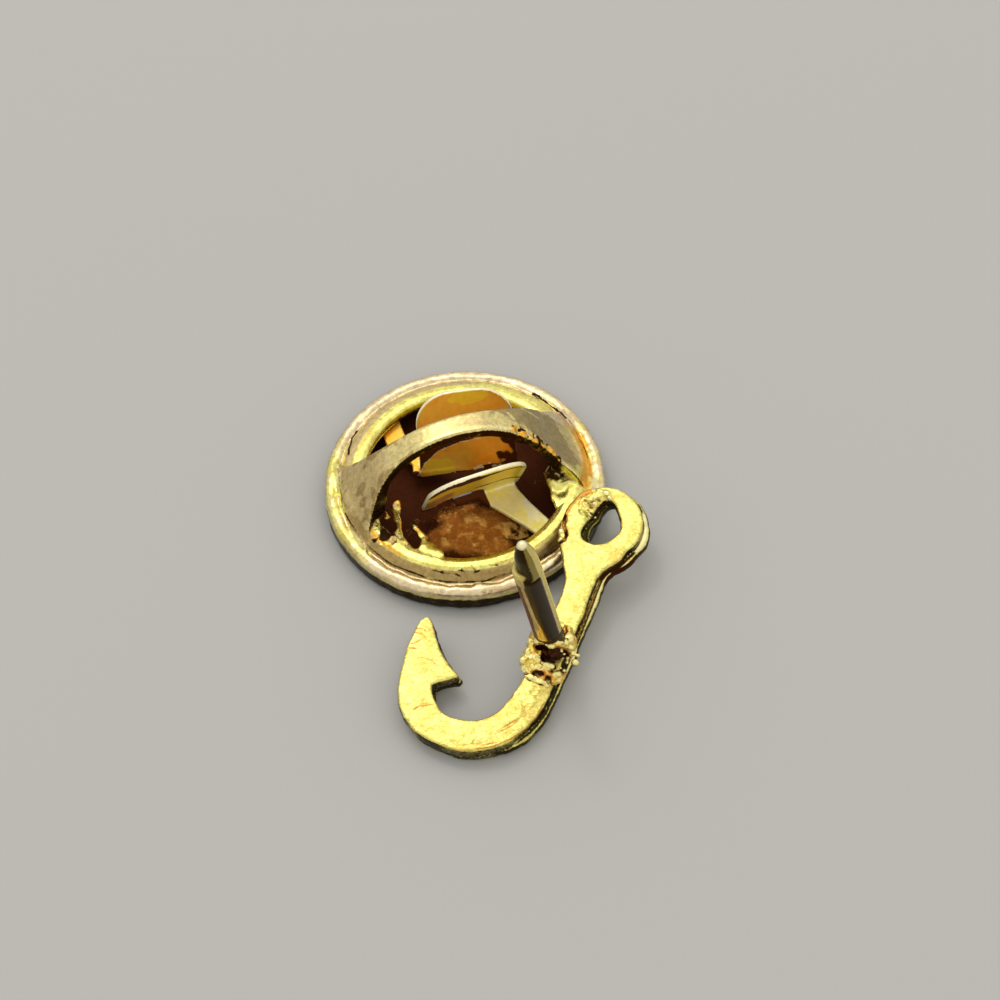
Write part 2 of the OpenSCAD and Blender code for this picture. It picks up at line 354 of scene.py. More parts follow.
def plated_metal(name, bright, deep, rough, grain_mm, grain_depth, marks, patch_mm=0.9, bare=1.0, mottle=0.15,
                 gloss=0.5, wrinkle=None):
    """Plated brass: a bright colour that deepens in patches, grain in relief, and marks on top.

    Each mark is a mask on the mesh, with its colour and roughness, and the grain breaks up its edge.
    bare is the share of the surface that no dirt dulls, gloss how much that dirt shines, mottle how much
    fine specks darken the metal, and wrinkle the colour of the wavy lines that some metals have.
    """
    wrinkle_mm, wrinkle_share, speck_mm = 0.3, 0.07, 1 / 4.5
    finish = bpy.data.materials.new(name)
    finish.use_nodes = True
    tree = finish.node_tree
    tree.nodes.clear()
    at = put(tree, "TexCoord", out="Object")
    # the object's metres become millimetres
    mm = put(tree, "VectorMath", {0: at, 1: (1 / MM, 1 / MM, 1 / MM)}, operation="MULTIPLY")
    patches = put(tree, "TexNoise", {"Vector": mm, "Scale": 1 / patch_mm, "Detail": 5.0, "Roughness": 0.65})
    spread = put(tree, "MapRange", {"Value": patches, "From Min": 0.38, "From Max": 0.56})
    fine = put(tree, "TexNoise", {"Vector": mm, "Scale": 1 / grain_mm, "Detail": 4.0, "Roughness": 0.6})
    tint = put(tree, "Mix", {0: spread, 6: colour(deep), 7: colour(bright)}, out=2, data_type="RGBA")
    if wrinkle:
        # fine wavy lines across the metal, where its noise crosses the middle
        drawn = put(tree, "VectorMath", {0: mm, 1: (1, 2, 1)}, operation="MULTIPLY")
        wavy = put(tree, "TexNoise", {"Vector": drawn, "Scale": 1 / wrinkle_mm, "Detail": 3.0,
                                      "Distortion": 0.6})
        off = put(tree, "Math", {0: wavy, 1: 0.5}, operation="SUBTRACT")
        away = put(tree, "Math", {0: off}, operation="ABSOLUTE")
        line = put(tree, "MapRange", {"Value": away, "From Max": wrinkle_share, "To Min": 0.75,
                                      "To Max": 0.0})
        tint = put(tree, "Mix", {0: line, 6: tint, 7: colour(wrinkle)}, out=2, data_type="RGBA")
    worn = put(tree, "MapRange", {"Value": fine, "From Min": 0.3, "From Max": 0.7,
                                  "To Min": rough * 0.75, "To Max": rough * 1.3})
    for mask, mark_colour, mark_rough in marks:
        marked = put(tree, "Attribute", out="Fac", attribute_name=mask)
        # the grain eats into the mark's faint edge
        broken = put(tree, "Math", {0: marked, 1: fine}, operation="ADD")
        share = put(tree, "MapRange", {"Value": broken, "From Min": 0.75, "From Max": 1.15})
        tint = put(tree, "Mix", {0: share, 6: tint, 7: colour(mark_colour)}, out=2, data_type="RGBA")
        worn = put(tree, "Mix", {0: share, 2: worn, 3: mark_rough})
    specks = put(tree, "TexNoise", {"Vector": mm, "Scale": 1 / speck_mm, "Detail": 6.0, "Roughness": 0.75,
                                    "Distortion": 0.4})
    dulled = put(tree, "MapRange", {"Value": specks, "From Min": 0.36, "From Max": 0.6, "To Min": 1 - mottle})
    tint = put(tree, "Mix", {0: 1.0, 6: tint, 7: dulled}, out=2, data_type="RGBA", blend_type="MULTIPLY")
    relief = put(tree, "Bump", {"Height": fine, "Strength": 0.8, "Distance": grain_depth * MM})
    metal = put(tree, "BsdfPrincipled", {"Base Color": tint, "Metallic": bare, "Roughness": worn,
                                         "Specular IOR Level": gloss, "Normal": relief})
    put(tree, "OutputMaterial", {"Surface": metal})
    return finish


# Cast and gold-plated back: bright lemon gold with a sandy grain and wavy olive lines, with painted shade on
# its sides and under the eye and painted highlights on its ledge and flakes
CAST_GOLD = plated_metal(
    "cast_gold_plate", "#f5ec86", "#e6cd6e", 0.34, 0.1, 0.016,
    [("side", "#352d10", 0.32), ("rust_and_painted_light", "#c9903f", 0.4), ("pale", "#fbf0ac", 0.3),
     ("crack", "#442208", 0.6)], wrinkle="#bfa64a")
# Drawn brass wire, plated: dark, olive, brown and pale stripes down the side that faces the camera are
# painted reflections and highlights
WIRE_GOLD = plated_metal(
    "drawn_wire_painted_reflections", "#e9c96a", "#c79a3e", 0.17, 0.14, 0.004,
    [("olive", "#a8954c", 0.22), ("dark", "#382809", 0.26), ("rust_and_painted_light", "#8a4e10", 0.5),
     ("pale", "#fbe58a", 0.26), ("foot", "#3a1f0a", 0.4), ("tip", "#fff4c0", 0.3)], patch_mm=0.5)
# Solder under the plate: beads on a crust, with brown flux baked into its hollows, painted shade on faces
# that look down and a painted highlight on the beads' tops
SOLDER_GOLD = plated_metal(
    "plated_solder", "#ffe87e", "#eab54c", 0.32, 0.07, 0.014,
    [("rust_and_painted_light", "#b8762c", 0.4), ("flux_and_shade", "#4a260c", 0.55), ("bead", "#fff09a", 0.3)],
    patch_mm=0.35, bare=0.85)
# Stamped sheet, plated and much handled: lemon ring, a rim painted pinkish on top as a highlight, olive feet,
# brown tarnish, brown and dark painted shade, pale painted highlights and orange painted reflections
SHEET_GOLD = plated_metal(
    "stamped_sheet_gold", "#f9ef88", "#e5cf70", 0.24, 0.14, 0.008,
    [("cream", "#ecd892", 0.26), ("pink", "#f7dfb2", 0.3), ("khaki", "#e6cc8e", 0.34),
     ("slate", "#b8a26c", 0.3), ("tarnish_and_shade", "#b89c62", 0.38), ("amber", "#ffbe48", 0.32),
     ("side", "#38290f", 0.34), ("white", "#fff2a8", 0.36), ("crack", "#3a240e", 0.6)], mottle=0.34)
# Brass base plate inside the cap: brown painted shade over it, and a painted pool of light in brown and amber
BASE_BRASS = plated_metal(
    "brass_with_painted_light_and_shade", "#e8a44c", "#b87430", 0.6, 0.12, 0.016,
    [("painted_shade", "#4a2006", 0.65), ("rust_and_painted_light", "#b8702a", 0.6), ("amber", "#ffcc6c", 0.6)],
    patch_mm=0.5, bare=0.6, mottle=0.3, gloss=0.15)
# Spring strip, deep orange gold as a painted reflection of the gold round it: its dirt and its soft polish
# keep the gold around it from showing as a mirror
SPRING_GOLD = plated_metal(
    "polished_spring_gold", "#ffc84e", "#ffb432", 0.36, 0.2, 0.003,
    [("yellow", "#ffde42", 0.4), ("matt_highlight", "#ffee80", 0.62), ("painted_shade", "#5a2c0c", 0.8),
     ("tan", "#c99a5c", 0.35), ("pale", "#fff4cc", 0.4)], patch_mm=1.6, bare=0.55, mottle=0.1, gloss=0.15)


# Hook casting: two flat layers that the mould left a little out of line

BACK_OUTLINE = smooth_outline([
    (-5.22, 0.2), (-5.36, 0.0), (-5.44, -0.4), (-5.45, -1.0), (-5.39, -1.77), (-5.26, -2.52),
    (-5.04, -3.29), (-4.8, -3.81), (-4.47, -4.21), (-4.06, -4.51), (-3.58, -4.75), (-3.06, -4.9),
    (-2.48, -4.97), (-2.0, -4.96), (-1.45, -4.82), (-0.93, -4.57), (-0.45, -4.23), (-0.05, -3.82),
    (0.25, -3.35), (0.47, -2.78), (0.6, -2.2), (0.64, -1.6), (0.66, -0.5), (0.7, 1.0),
    (0.7, 2.7), (0.67, 3.6), (0.69, 4.15), (0.87, 4.56), (1.13, 4.87), (1.32, 5.25),
    (1.48, 5.65), (1.62, 6.0), (1.67, 6.35), (1.6, 6.77), (1.42, 7.22), (1.12, 7.62),
    (0.72, 7.94), (0.27, 8.09), (-0.25, 8.13), (-0.66, 8.02), (-1.02, 7.8), (-1.3, 7.52),
    (-1.5, 7.12), (-1.63, 6.6), (-1.67, 6.2), (-1.6, 5.7), (-1.47, 5.25), (-1.22, 4.77),
    (-0.96, 4.38), (-0.74, 3.95), (-0.58, 3.5), (-0.49, 2.9),
    (-0.48, 2.2), (-0.5, 1.0), (-0.54, -0.3), (-0.6, -1.36), (-0.7, -1.86), (-0.85, -2.37),
    (-1.05, -2.83), (-1.36, -3.2), (-1.76, -3.47), (-2.22, -3.6), (-2.67, -3.62), (-3.1, -3.5),
    (-3.44, -3.24), (-3.68, -2.9), (-3.86, -2.56, 1), (-3.45, -2.22), (-3.08, -1.95, 1),
    (-3.04, -1.84, 1), (-3.4, -1.6), (-3.82, -1.26), (-4.22, -0.86), (-4.6, -0.38), (-4.9, 0.02),
    (-5.08, 0.2),
])
EYE_HOLE = smooth_outline([
    (-0.62, 5.7), (-0.42, 5.5), (-0.12, 5.44), (0.18, 5.5), (0.43, 5.68), (0.63, 5.94),
    (0.74, 6.3), (0.68, 6.63), (0.54, 6.97), (0.34, 7.24), (0.1, 7.42), (-0.16, 7.47),
    (-0.34, 7.34), (-0.43, 7.05), (-0.49, 6.72), (-0.6, 6.37), (-0.67, 5.98),
])
# where the mould tore the metal by the eye: its crust, the cracks across it, and flakes at the edge
EYE_CRUST = smooth_outline([
    (-0.5, 6.3), (-0.92, 6.42), (-1.12, 6.85), (-1.16, 7.3), (-0.85, 7.62), (-0.36, 7.86), (-0.02, 7.72),
    (-0.1, 7.44), (-0.36, 7.2),
])
EYE_CRACKS = [
    [(-1.06, 7.2), (-0.9, 7.18), (-0.78, 7.06), (-0.68, 6.96), (-0.6, 7.02)],
    [(-0.82, 7.18), (-0.64, 7.28), (-0.54, 7.4), (-0.44, 7.37)],
    [(-0.75, 6.8), (-0.66, 6.72), (-0.5, 6.68)],
    [(-0.8, 6.66), (-0.66, 6.5), (-0.56, 6.45)],
    [(-0.45, 6.76), (-0.38, 7.02), (-0.32, 7.34), (-0.22, 7.48), (0.02, 7.48)],
]
EDGE_CRACKS = [
    [(-1.56, 6.3), (-1.5, 6.0), (-1.43, 5.8), (-1.27, 5.62), (-1.18, 5.42), (-1.17, 5.2), (-1.3, 5.04)],
]
EYE_FLAKES = [
    (-0.9, 7.1, 0.1), (-0.58, 7.15, 0.08), (-0.7, 7.4, 0.13), (-0.3, 7.76, 0.13), (-0.13, 7.56, 0.09),
    (-1.44, 5.56, 0.09), (-1.36, 5.16, 0.11), (-0.66, 6.6, 0.07), (-0.4, 6.6, 0.06), (-0.6, 7.76, 0.1),
]
# brown scratches on the back, and the fold at its lower right edge
BACK_SCRATCHES = [
    [(-4.86, -1.68), (-4.6, -1.6), (-4.33, -1.63), (-3.85, -1.65)],
    [(-5.4, -0.44), (-5.15, -0.38), (-4.94, -0.43)],
    [(-5.38, -0.63), (-5.1, -0.58), (-4.88, -0.68)],
    [(-5.3, -1.34), (-5.06, -1.29)],
    [(-5.3, -1.14), (-5.04, -0.88)],
    [(-4.16, -3.82), (-4.0, -3.62), (-3.85, -3.55), (-3.5, -3.38)],
    [(0.1, -2.66), (-0.19, -2.97), (-0.5, -3.36)],
    [(-0.05, -2.9), (-0.3, -3.3), (-0.75, -3.8)],
    [(-1.41, -4.12), (-1.46, -4.46)],
    [(-1.5, -4.5), (-0.95, -4.35), (-0.4, -3.98)],
    [(-3.62, -2.55), (-3.66, -2.95), (-3.46, -3.3)],
]
# the shaded wall under the eye, and rust along the eye's left edge
UNDER_EYE = [(0.62, 4.1), (0.8, 4.55), (1.1, 4.9), (1.36, 5.3), (1.55, 5.75), (1.95, 5.7), (1.9, 5.2),
             (1.5, 4.75), (1.15, 4.4), (0.95, 4.1)]
EDGE_RUST = [[(-1.44, 6.0), (-1.56, 6.4), (-1.5, 6.85), (-1.4, 7.14), (-1.2, 7.42), (-0.98, 7.62)]]
EDGE_FOLD = [[(-1.2, -4.62), (-0.6, -4.28), (-0.1, -3.78), (0.28, -3.2), (0.5, -2.6), (0.58, -1.9)]]


def layer_step(x):
    """How far the front layer lies out of line: little at the point."""
    share = 0.3 + 0.7 * fade(-x, 1.2, 2.6)
    return LAYER_STEP[0] * share, LAYER_STEP[1] * share


def hook_layer(x, y, wander):
    """One layer of the casting over the flat grid, with the eye's hole cut out."""
    body = outline_distance(x, y, BACK_OUTLINE) + wander
    hole = outline_distance(x, y, EYE_HOLE) + wander
    return np.maximum(body, -hole)[:, :, None]


def hook_field(x, y, z):
    """The casting, before its grain."""
    flat_x, flat_y = x[:, :, 0], y[:, :, 0]
    # the mould's edge wanders a little
    wander = 0.035 * flat_lumps(flat_x, flat_y, 0.7, 101) + 0.02 * flat_lumps(flat_x, flat_y, 0.22, 102)
    back = hook_layer(flat_x, flat_y, wander)
    step_x, step_y = layer_step(flat_x)
    wander = 0.04 * flat_lumps(flat_x, flat_y, 0.6, 103) + 0.02 * flat_lumps(flat_x, flat_y, 0.2, 104)
    front = hook_layer(flat_x - step_x, flat_y - step_y, wander)
    # the back swells a little between its edges, and stands up in lumps where it tore
    crown = 0.03 * np.clip(-back / 0.5, 0, 1) - 0.03
    torn = fade(outline_distance(flat_x, flat_y, EYE_CRUST), 0.02, 0.16)
    crown = crown + (0.07 * torn * (flat_lumps(flat_x, flat_y, 0.2, 107) + 0.3))[:, :, None]
    front_slab = slab(front, z, 0, LAYER_T + 0.04, 0.2)
    back_slab = slab(back, z - crown, LAYER_T - 0.06, BACK_Z, 0.1)
    metal = merge(front_slab, back_slab, 0.04)
    warp = 0.05 * flat_lumps(flat_x, flat_y, 0.12, 105)[:, :, None]
    for px, py, r in EYE_FLAKES:
        metal = merge(metal, ball(x + warp, y - warp, z, (px, py, BACK_Z - 0.04), r, (1.1, 1, 0.8)), 0.06)
    crack_r, scratch_r = 0.045, 0.03
    ragged = 0.03 * flat_lumps(flat_x, flat_y, 0.1, 106)
    for crack in EYE_CRACKS + EDGE_CRACKS:
        d, _ = path_distance(flat_x + warp[:, :, 0], flat_y - warp[:, :, 0], crack)
        # a crack is as deep as it is wide
        groove = np.sqrt(d[:, :, None] ** 2 + (0.5 * (z - BACK_Z)) ** 2) - crack_r + ragged[:, :, None]
        metal = cut(metal, groove, 0.02)
    for scratch in BACK_SCRATCHES + EDGE_FOLD:
        d, _ = path_distance(flat_x + warp[:, :, 0], flat_y, scratch)
        groove = np.sqrt(d[:, :, None] ** 2 + (z - BACK_Z - 0.01) ** 2) - scratch_r
        metal = cut(metal, groove, 0.03)
    return metal


def build_hook():
    """The casting with the mould's waves, the torn eye, and a coarser skin round the solder."""
    cell = 0.046
    low, high = (-5.75, -5.3, -0.2), (2.2, 8.35, 1.25)
    smooth, faces, ways = shaped(hook_field(*grid(low, high, cell)), low, cell, 2)
    px, py, pz = smooth.T
    on_back = fade(-pz, -0.8, 0.06)
    crust = on_back * most(along_lines(smooth, EDGE_CRACKS, 0.3), near(smooth, EYE_FLAKES, 0.2),
                           fade(outline_distance(px, py, EYE_CRUST), 0, 0.15))
    solder_side = fade(np.hypot(px + 0.1, py + 1.6), 1.1, 0.8) * on_back
    # shallow waves left by the mould, longer across the picture than along it
    ripple = grain(smooth * (1, 1.8, 1), 0.34, 15)
    rise = 0.009 * ripple + 0.03 * crust * grain(smooth, 0.13, 17)
    rise += 0.012 * solder_side * grain(smooth, 0.2, 19)
    points = smooth + ways * rise[:, None]
    make_piece("hook_casting", points, faces, HOOK_FRAME, CAST_GOLD, PIN, "hook",
               hook_marks(points, ways, px, py, pz, on_back))


def hook_marks(points, ways, px, py, pz, on_back):
    """Painted shade on the sides, the undersides and the ledge's dull part, painted highlights on the ledge
    and the flakes, rust and cracks on the back, and painted shade under the eye.
    """
    # painted shade: upright walls and faces that look down are painted dark, as is the ledge away from its
    # highlight
    upright = fade(np.abs(ways[:, 2]), 0.62, 0.3) * fade(pz, 0.83, 0.07)
    under = fade(ways[:, 2], -0.5, 0.4)
    patchy = 0.75 + 0.35 * lumps(points, 0.8, 23)
    # the front layer's ledge: a painted highlight beside the eye and along its outer edge, painted shade
    # elsewhere
    ledge = fade(-ways[:, 2], -0.75, 0.2) * fade(pz, 0.62, 0.15) * fade(-pz, -0.3, 0.1)
    step_x, step_y = layer_step(px)
    front_edge = -outline_distance(px - step_x, py - step_y, BACK_OUTLINE)
    lit = ledge * fade(front_edge, 0.1, 0.08)
    by_eye = ledge * fade(-px, -1.3, 0.3) * fade(-py, -5.8, 0.3)
    by_shank = lit * fade(-px, -0.55, 0.2) * band(py, 2.1, 3.2, 0.5)
    side = most(most(upright, 0.35 * under) * patchy, 0.85 * ledge * (1 - by_eye) * (1 - lit))
    scratched = 0.75 * along_lines(points, BACK_SCRATCHES, 0.07) * (0.8 + 0.5 * lumps(points, 0.4, 25))
    folded = 0.8 * along_lines(points, EDGE_FOLD, 0.06)
    edge_rust = 0.9 * along_lines(points, EDGE_RUST, 0.22)
    edge_crack = along_lines(points, EDGE_CRACKS, 0.14) * fade(pz, 0.93, 0.05)
    ledge_rust = 0.4 * ledge * band(front_edge, 0.2, 0.05, 0.06) * (1 - by_eye) * (py > -1)
    rust_and_painted_light = most(on_back * most(scratched, edge_rust, folded), ledge_rust, edge_crack)
    # painted highlights: pale on the lit ledge beside the eye and along the shank, and on the crust's flakes
    flakes = 0.7 * near(points, EYE_FLAKES, 0.14) * on_back
    pale = most(0.9 * by_eye, 0.85 * by_shank, 0.3 * lit, flakes)
    eye_crack = 0.5 * along_lines(points, EYE_CRACKS, 0.085) * fade(pz, 0.89, 0.05) * (pz > 0.4)
    # painted shade: the wall under the eye is painted dark in the cracks' colour
    under_eye_shade = fade(outline_distance(px, py, UNDER_EYE), 0, 0.2) * fade(pz, 0.72, 0.1)
    crack = most(eye_crack, 0.75 * edge_crack * (0.7 + 0.6 * lumps(points, 0.2, 27)),
                 0.95 * under_eye_shade * (1 - lit))
    return {"side": side, "rust_and_painted_light": rust_and_painted_light, "pale": pale, "crack": crack}


# Solder at the post's foot. Its places are as the photograph shows them, slid along the line of sight
# to a plane just above the back, since most of it lies on a steep slope.
SIGHT_Z = BACK_Z + 0.1
SOLDER_HOLLOWS = [
    [(-0.64, 0.29), (-0.38, 0.47), (0.16, 0.48), (0.62, 0.5), (0.84, 0.34), (0.8, 0.12), (0.99, -0.09),
     (1.03, -0.28), (0.9, -0.49), (0.64, -0.44), (0.54, -0.57), (0.37, -0.6), (0.14, -0.25), (-0.05, -0.25),
     (-0.28, -0.21), (-0.23, -0.01), (-0.28, 0.21), (-0.5, 0.17)],
    [(-0.31, -0.83), (-0.18, -0.72), (0.11, -0.69), (0.19, -0.82), (-0.04, -0.93), (-0.24, -0.94)],
    [(0.28, -0.83), (0.45, -0.8), (0.56, -1.03), (0.48, -1.12), (0.31, -0.98)],
    [(-0.58, -1.15), (-0.44, -1.04), (-0.36, -1.17), (-0.47, -1.28)],
]
# lines of baked flux
SOLDER_LINES = [
    [(-0.53, 0.72), (-0.17, 0.88), (0.17, 0.99)], [(-0.27, -1.25), (0.04, -1.29), (0.37, -1.24)],
    [(-0.28, -0.42), (-0.05, -0.44), (0.1, -0.38)], [(-0.66, -0.66), (-0.5, -0.72), (-0.4, -0.62)],
    [(0.3, 1.1), (0.36, 1.3), (0.24, 1.5)],
]
# bright beads and duller lumps: place across and along, radius, and stretch across
SOLDER_BEADS = [
    (0.2, -0.36, 0.15, 1.7), (1.16, 0.08, 0.14, 1.2), (1.15, 0.41, 0.08, 1.1), (0.92, 0.43, 0.1, 1.7),
    (0.74, 0.67, 0.11, 1.6), (0.68, -0.62, 0.13, 1.2), (0.8, 0.18, 0.065, 1.1), (0.85, -0.01, 0.07, 1.1),
    (0.86, -0.38, 0.075, 1), (0.69, -0.32, 0.06, 1.1), (0.45, 0.42, 0.06, 1.2), (0.6, 0.33, 0.06, 1.2),
    (-0.04, 0.51, 0.11, 1.6), (0.44, -1.23, 0.1, 1.3), (0.47, 0.83, 0.12, 1.2),
]
SOLDER_LUMPS = [
    (-0.45, -0.21, 0.15, 1.7), (-0.78, -0.49, 0.22, 0.9), (-0.34, -0.6, 0.14, 1.1), (-0.12, -0.51, 0.13, 1.2),
    (-0.61, -0.83, 0.14, 1.3), (-0.83, 0.39, 0.19, 0.8), (-0.24, -1.1, 0.1, 2.6), (0.19, -1.15, 0.1, 2.6),
    (-0.6, 0.67, 0.1, 1.3), (-0.78, -0.06, 0.19, 0.8), (0.56, 0.99, 0.2, 1), (-0.77, 0.31, 0.1, 1.2),
    (-0.66, 0.5, 0.1, 1.3), (-0.42, 0.63, 0.085, 1.6), (-0.18, 0.72, 0.08, 1.6), (0.1, 0.78, 0.08, 1.6),
    (0.34, 0.76, 0.09, 1.5), (-0.57, 1.07, 0.13, 0.8),
]


def solder_mound(x, y, z):
    """A torn collar that climbs the post, highest in front, on a pad across the shank."""
    up = z - BACK_Z
    aside, ahead = x + 0.03, POST_FOOT[1] - y
    way = np.degrees(np.arctan2(aside, ahead))
    reach = np.interp(up, [-0.2, 0.3, 0.8, 1.3], [1.1, 0.92, 0.76, 0.64])
    top = np.interp(way, [-180, -125, -85, -40, 0, 40, 75, 110, 180],
                    [0.25, 0.3, 1.0, 1.08, 1.16, 1.1, 0.85, 0.35, 0.25])
    collar = keep_both((np.hypot(aside * 1.08, ahead) - reach) * 0.85, (up - top) * 0.8, 0.1)
    pad = ball(x, y, z, (0.1, -0.5, BACK_Z - 0.1), 0.8, (1.1, 0.9, 0.5))
    flank = ball(x, y, z, (-0.6, -0.25, BACK_Z - 0.05), 0.4, (0.9, 1.3, 1))
    blob = ball(x, y, z, (0.42, 1.12, BACK_Z + 0.25), 0.26, (0.85, 1.2, 1.6))
    return merge(merge(merge(collar, pad, 0.15), flank, 0.15), blob, 0.1)


def landing(across, along):
    """Where the line of sight through a place first meets the solder or the back."""
    ups = np.linspace(1.7, -0.2, 191)
    x = across + SIGHT_SLOPE[0] * (ups + BACK_Z - SIGHT_Z)
    y = along + SIGHT_SLOPE[1] * (ups + BACK_Z - SIGHT_Z)
    at = int(np.argmax(np.minimum(solder_mound(x, y, BACK_Z + ups), ups) < 0))
    return x[at], y[at], BACK_Z + ups[at]


def build_solder():
    """What holds the post: a torn collar, hollows with flux in them, and beads and lumps round them."""
    cell = 0.034
    low, high = (-1.45, -1.75, 0.62), (1.65, 2.0, 2.35)
    x, y, z = grid(low, high, cell)
    # the crust is ragged, so places on it are shaken
    shape = np.broadcast_shapes(x.shape, y.shape, z.shape)
    spots = np.stack([np.broadcast_to(a, shape).ravel() for a in (x, y, z)], 1)
    shake = [grain(spots, 0.15, seed, 2).reshape(shape) for seed in (201, 203, 205)]
    rough_x, rough_y, rough_z = (a + 0.045 * s for a, s in zip((x, y, z), shake))
    mound = solder_mound(rough_x, rough_y, rough_z)
    seen_x, seen_y = x - SIGHT_SLOPE[0] * (z - SIGHT_Z), y - SIGHT_SLOPE[1] * (z - SIGHT_Z)
    metal = mound
    for hollow in SOLDER_HOLLOWS:
        inside = outline_distance(seen_x, seen_y, hollow) + 0.03 * shake[1]
        metal = cut(metal, np.maximum(inside, -(mound + 0.18 + 0.06 * shake[2])), 0.03)
    settled = []
    for rounded, is_rough in ((SOLDER_LUMPS, 1), (SOLDER_BEADS, 0)):
        for across, along, r, wide in rounded:
            centre = landing(across, along)
            settled.append((centre, r, wide))
            places = [a + is_rough * (b - a) for a, b in ((x, rough_x), (y, rough_y), (z, rough_z))]
            metal = merge(metal, ball(*places, centre, r, (wide, 1, 1)), 0.03 + 0.02 * is_rough)
    metal = keep_both(metal, (BACK_Z - 0.14) - z, 0.02)
    points, faces, ways = shaped(metal, low, cell, 0)
    points = points + ways * (0.012 * grain(points, 0.1, 31))[:, None]
    make_piece("hook_solder", points, faces, HOOK_FRAME, SOLDER_GOLD, PIN, "hook",
               solder_marks(points, ways, settled))


def solder_marks(points, ways, settled):
    """Flux in the hollows with rust round it, painted shade on faces that look down, and a painted highlight
    on the tops of the beads and lumps where they settled.
    """
    seen = points - np.array([*SIGHT_SLOPE, 1])[None, :] * (points[:, 2:] - SIGHT_Z)
    bead = np.zeros(len(points))
    for (cx, cy, cz), r, wide in settled:
        d = np.sqrt(((points[:, 0] - cx) / wide) ** 2 + (points[:, 1] - cy) ** 2 + (points[:, 2] - cz) ** 2)
        bead = most(bead, fade(d, r + 0.03, 0.04))
    hollows = np.minimum.reduce([outline_distance(seen[:, 0], seen[:, 1], h) for h in SOLDER_HOLLOWS])
    brown_lines = 0.9 * along_lines(seen, SOLDER_LINES, 0.13) * (0.8 + 0.4 * lumps(points, 0.2, 37))
    crevice = fade(grain(points, 0.14, 39), -0.55, 0.2)
    rust_and_painted_light = most(fade(hollows + 0.06 * lumps(points, 0.15, 35), 0.09, 0.08), brown_lines, 0.6 * crevice)
    flux_and_shade = fade(hollows + 0.04 * lumps(points, 0.12, 33), 0.01, 0.06)
    flux_and_shade = most(flux_and_shade, 0.9 * along_lines(seen, SOLDER_LINES, 0.05)) * (1 - bead)
    # painted shade: faces that look down are painted dark with the flux
    under = 0.7 * fade(ways[:, 2], 0.0, 0.3)
    # painted highlight: the beads and lumps are pale only where they face up
    return {"rust_and_painted_light": rust_and_painted_light * (1 - bead), "flux_and_shade": most(flux_and_shade, under),
            "bead": bead * fade(-ways[:, 2], 0.1, 0.4) * 0.85}


def turned(profile, steps):
    """Points of a ring for each (radius, height) pair, one ring after the other."""
    angles = np.arange(steps) * 2 * math.pi / steps
    around = np.stack([np.cos(angles), np.sin(angles), np.zeros(steps)], 1)
    return np.concatenate([around * r + (0, 0, h) for r, h in profile])


def ring_faces(first, second, steps):
    """Faces between two rings, given by the numbers of their first points."""
    return [(first + i, first + (i + 1) % steps, second + (i + 1) % steps, second + i) for i in range(steps)]


def lathe(profile, steps):
    """Points and faces of a turned piece from (radius, height) pairs. The first and last radius are 0."""
    count = len(profile) - 2
    ends = [(0, 0, profile[0][1]), (0, 0, profile[-1][1])]
    points = np.concatenate([turned(profile[1:-1], steps), ends])
    faces = []
    for k in range(count - 1):
        faces += ring_faces(k * steps, (k + 1) * steps, steps)
    last = (count - 1) * steps
    for i in range(steps):
        j = (i + 1) % steps
        faces.append((j, i, count * steps))
        faces.append((last + i, last + j, count * steps + 1))
    return points, faces


def post_profile():
    """Radii and heights of the wire: a straight body, a shoulder, and a nose with a waist and a round tip."""
    tip_r, nose_r, waist_r = 0.22, 0.49, 0.43
    nose_z = SHOULDER_H + 0.06
    waist_z = SHOULDER_H + 0.5 * (POST_LEN - SHOULDER_H)
    tip_z = POST_LEN - tip_r
    profile = [(0, -0.1), (POST_R, -0.1)]
    profile += [(POST_R - 0.003 * (k % 2), h) for k, h in enumerate(np.linspace(0, SHOULDER_H - 0.16, 60))]
    profile += [(POST_R - 0.01, SHOULDER_H - 0.09), (POST_R - 0.035, SHOULDER_H - 0.04)]
    profile += [(nose_r + 0.03, SHOULDER_H), (nose_r, nose_z)]
    profile += [(nose_r + (waist_r - nose_r) * t, nose_z + (waist_z - SHOULDER_H) * t)
                for t in np.linspace(0.1, 1, 12)]
    profile += [(waist_r + (tip_r - waist_r) * t ** 1.6, waist_z + 0.06 + (tip_z - waist_z - 0.06) * t)
                for t in np.linspace(0.1, 1, 12)]
    profile += [(tip_r * math.cos(a), tip_z + tip_r * math.sin(a)) for a in np.linspace(0.15, 1.45, 9)]
    return profile + [(0, POST_LEN)]


def build_post():
    """The wire post: a straight shank, and a nose that was filed narrower, mostly from one side."""
    nose_shift = 0.11
    points, faces = lathe(post_profile(), 96)
    around = np.arctan2(points[:, 1], points[:, 0])
    off_axis = np.hypot(points[:, 0], points[:, 1]) > 0.2
    right = np.cos(around) * VIEW_RIGHT[0] + np.sin(around) * VIEW_RIGHT[1]
    front = np.cos(around) * VIEW_RIGHT[1] - np.sin(around) * VIEW_RIGHT[0]
    high = points[:, 2]
    in_nose = fade(-high, -SHOULDER_H - 0.03, 0.1)
    # drawing left faint flats along the wire
    flats = 0.006 * np.sin(around * 5 + 1 + 0.3 * lumps(points, 2.0, 43)) * off_axis
    points[:, 0] += flats * np.cos(around) + nose_shift * in_nose * VIEW_RIGHT[0]
    points[:, 1] += flats * np.sin(around) + nose_shift * in_nose * VIEW_RIGHT[1]
    # the shoulder climbs at the left, where less was filed off
    at_left = fade(right, -0.35, 0.5)
    points[:, 2] += 0.36 * at_left * band(high, SHOULDER_H, 0.45, 0.7) * off_axis
    make_piece("hook_post", points, faces, POST_FRAME, WIRE_GOLD, PIN, "hook",
               post_marks(points, right, front, at_left))


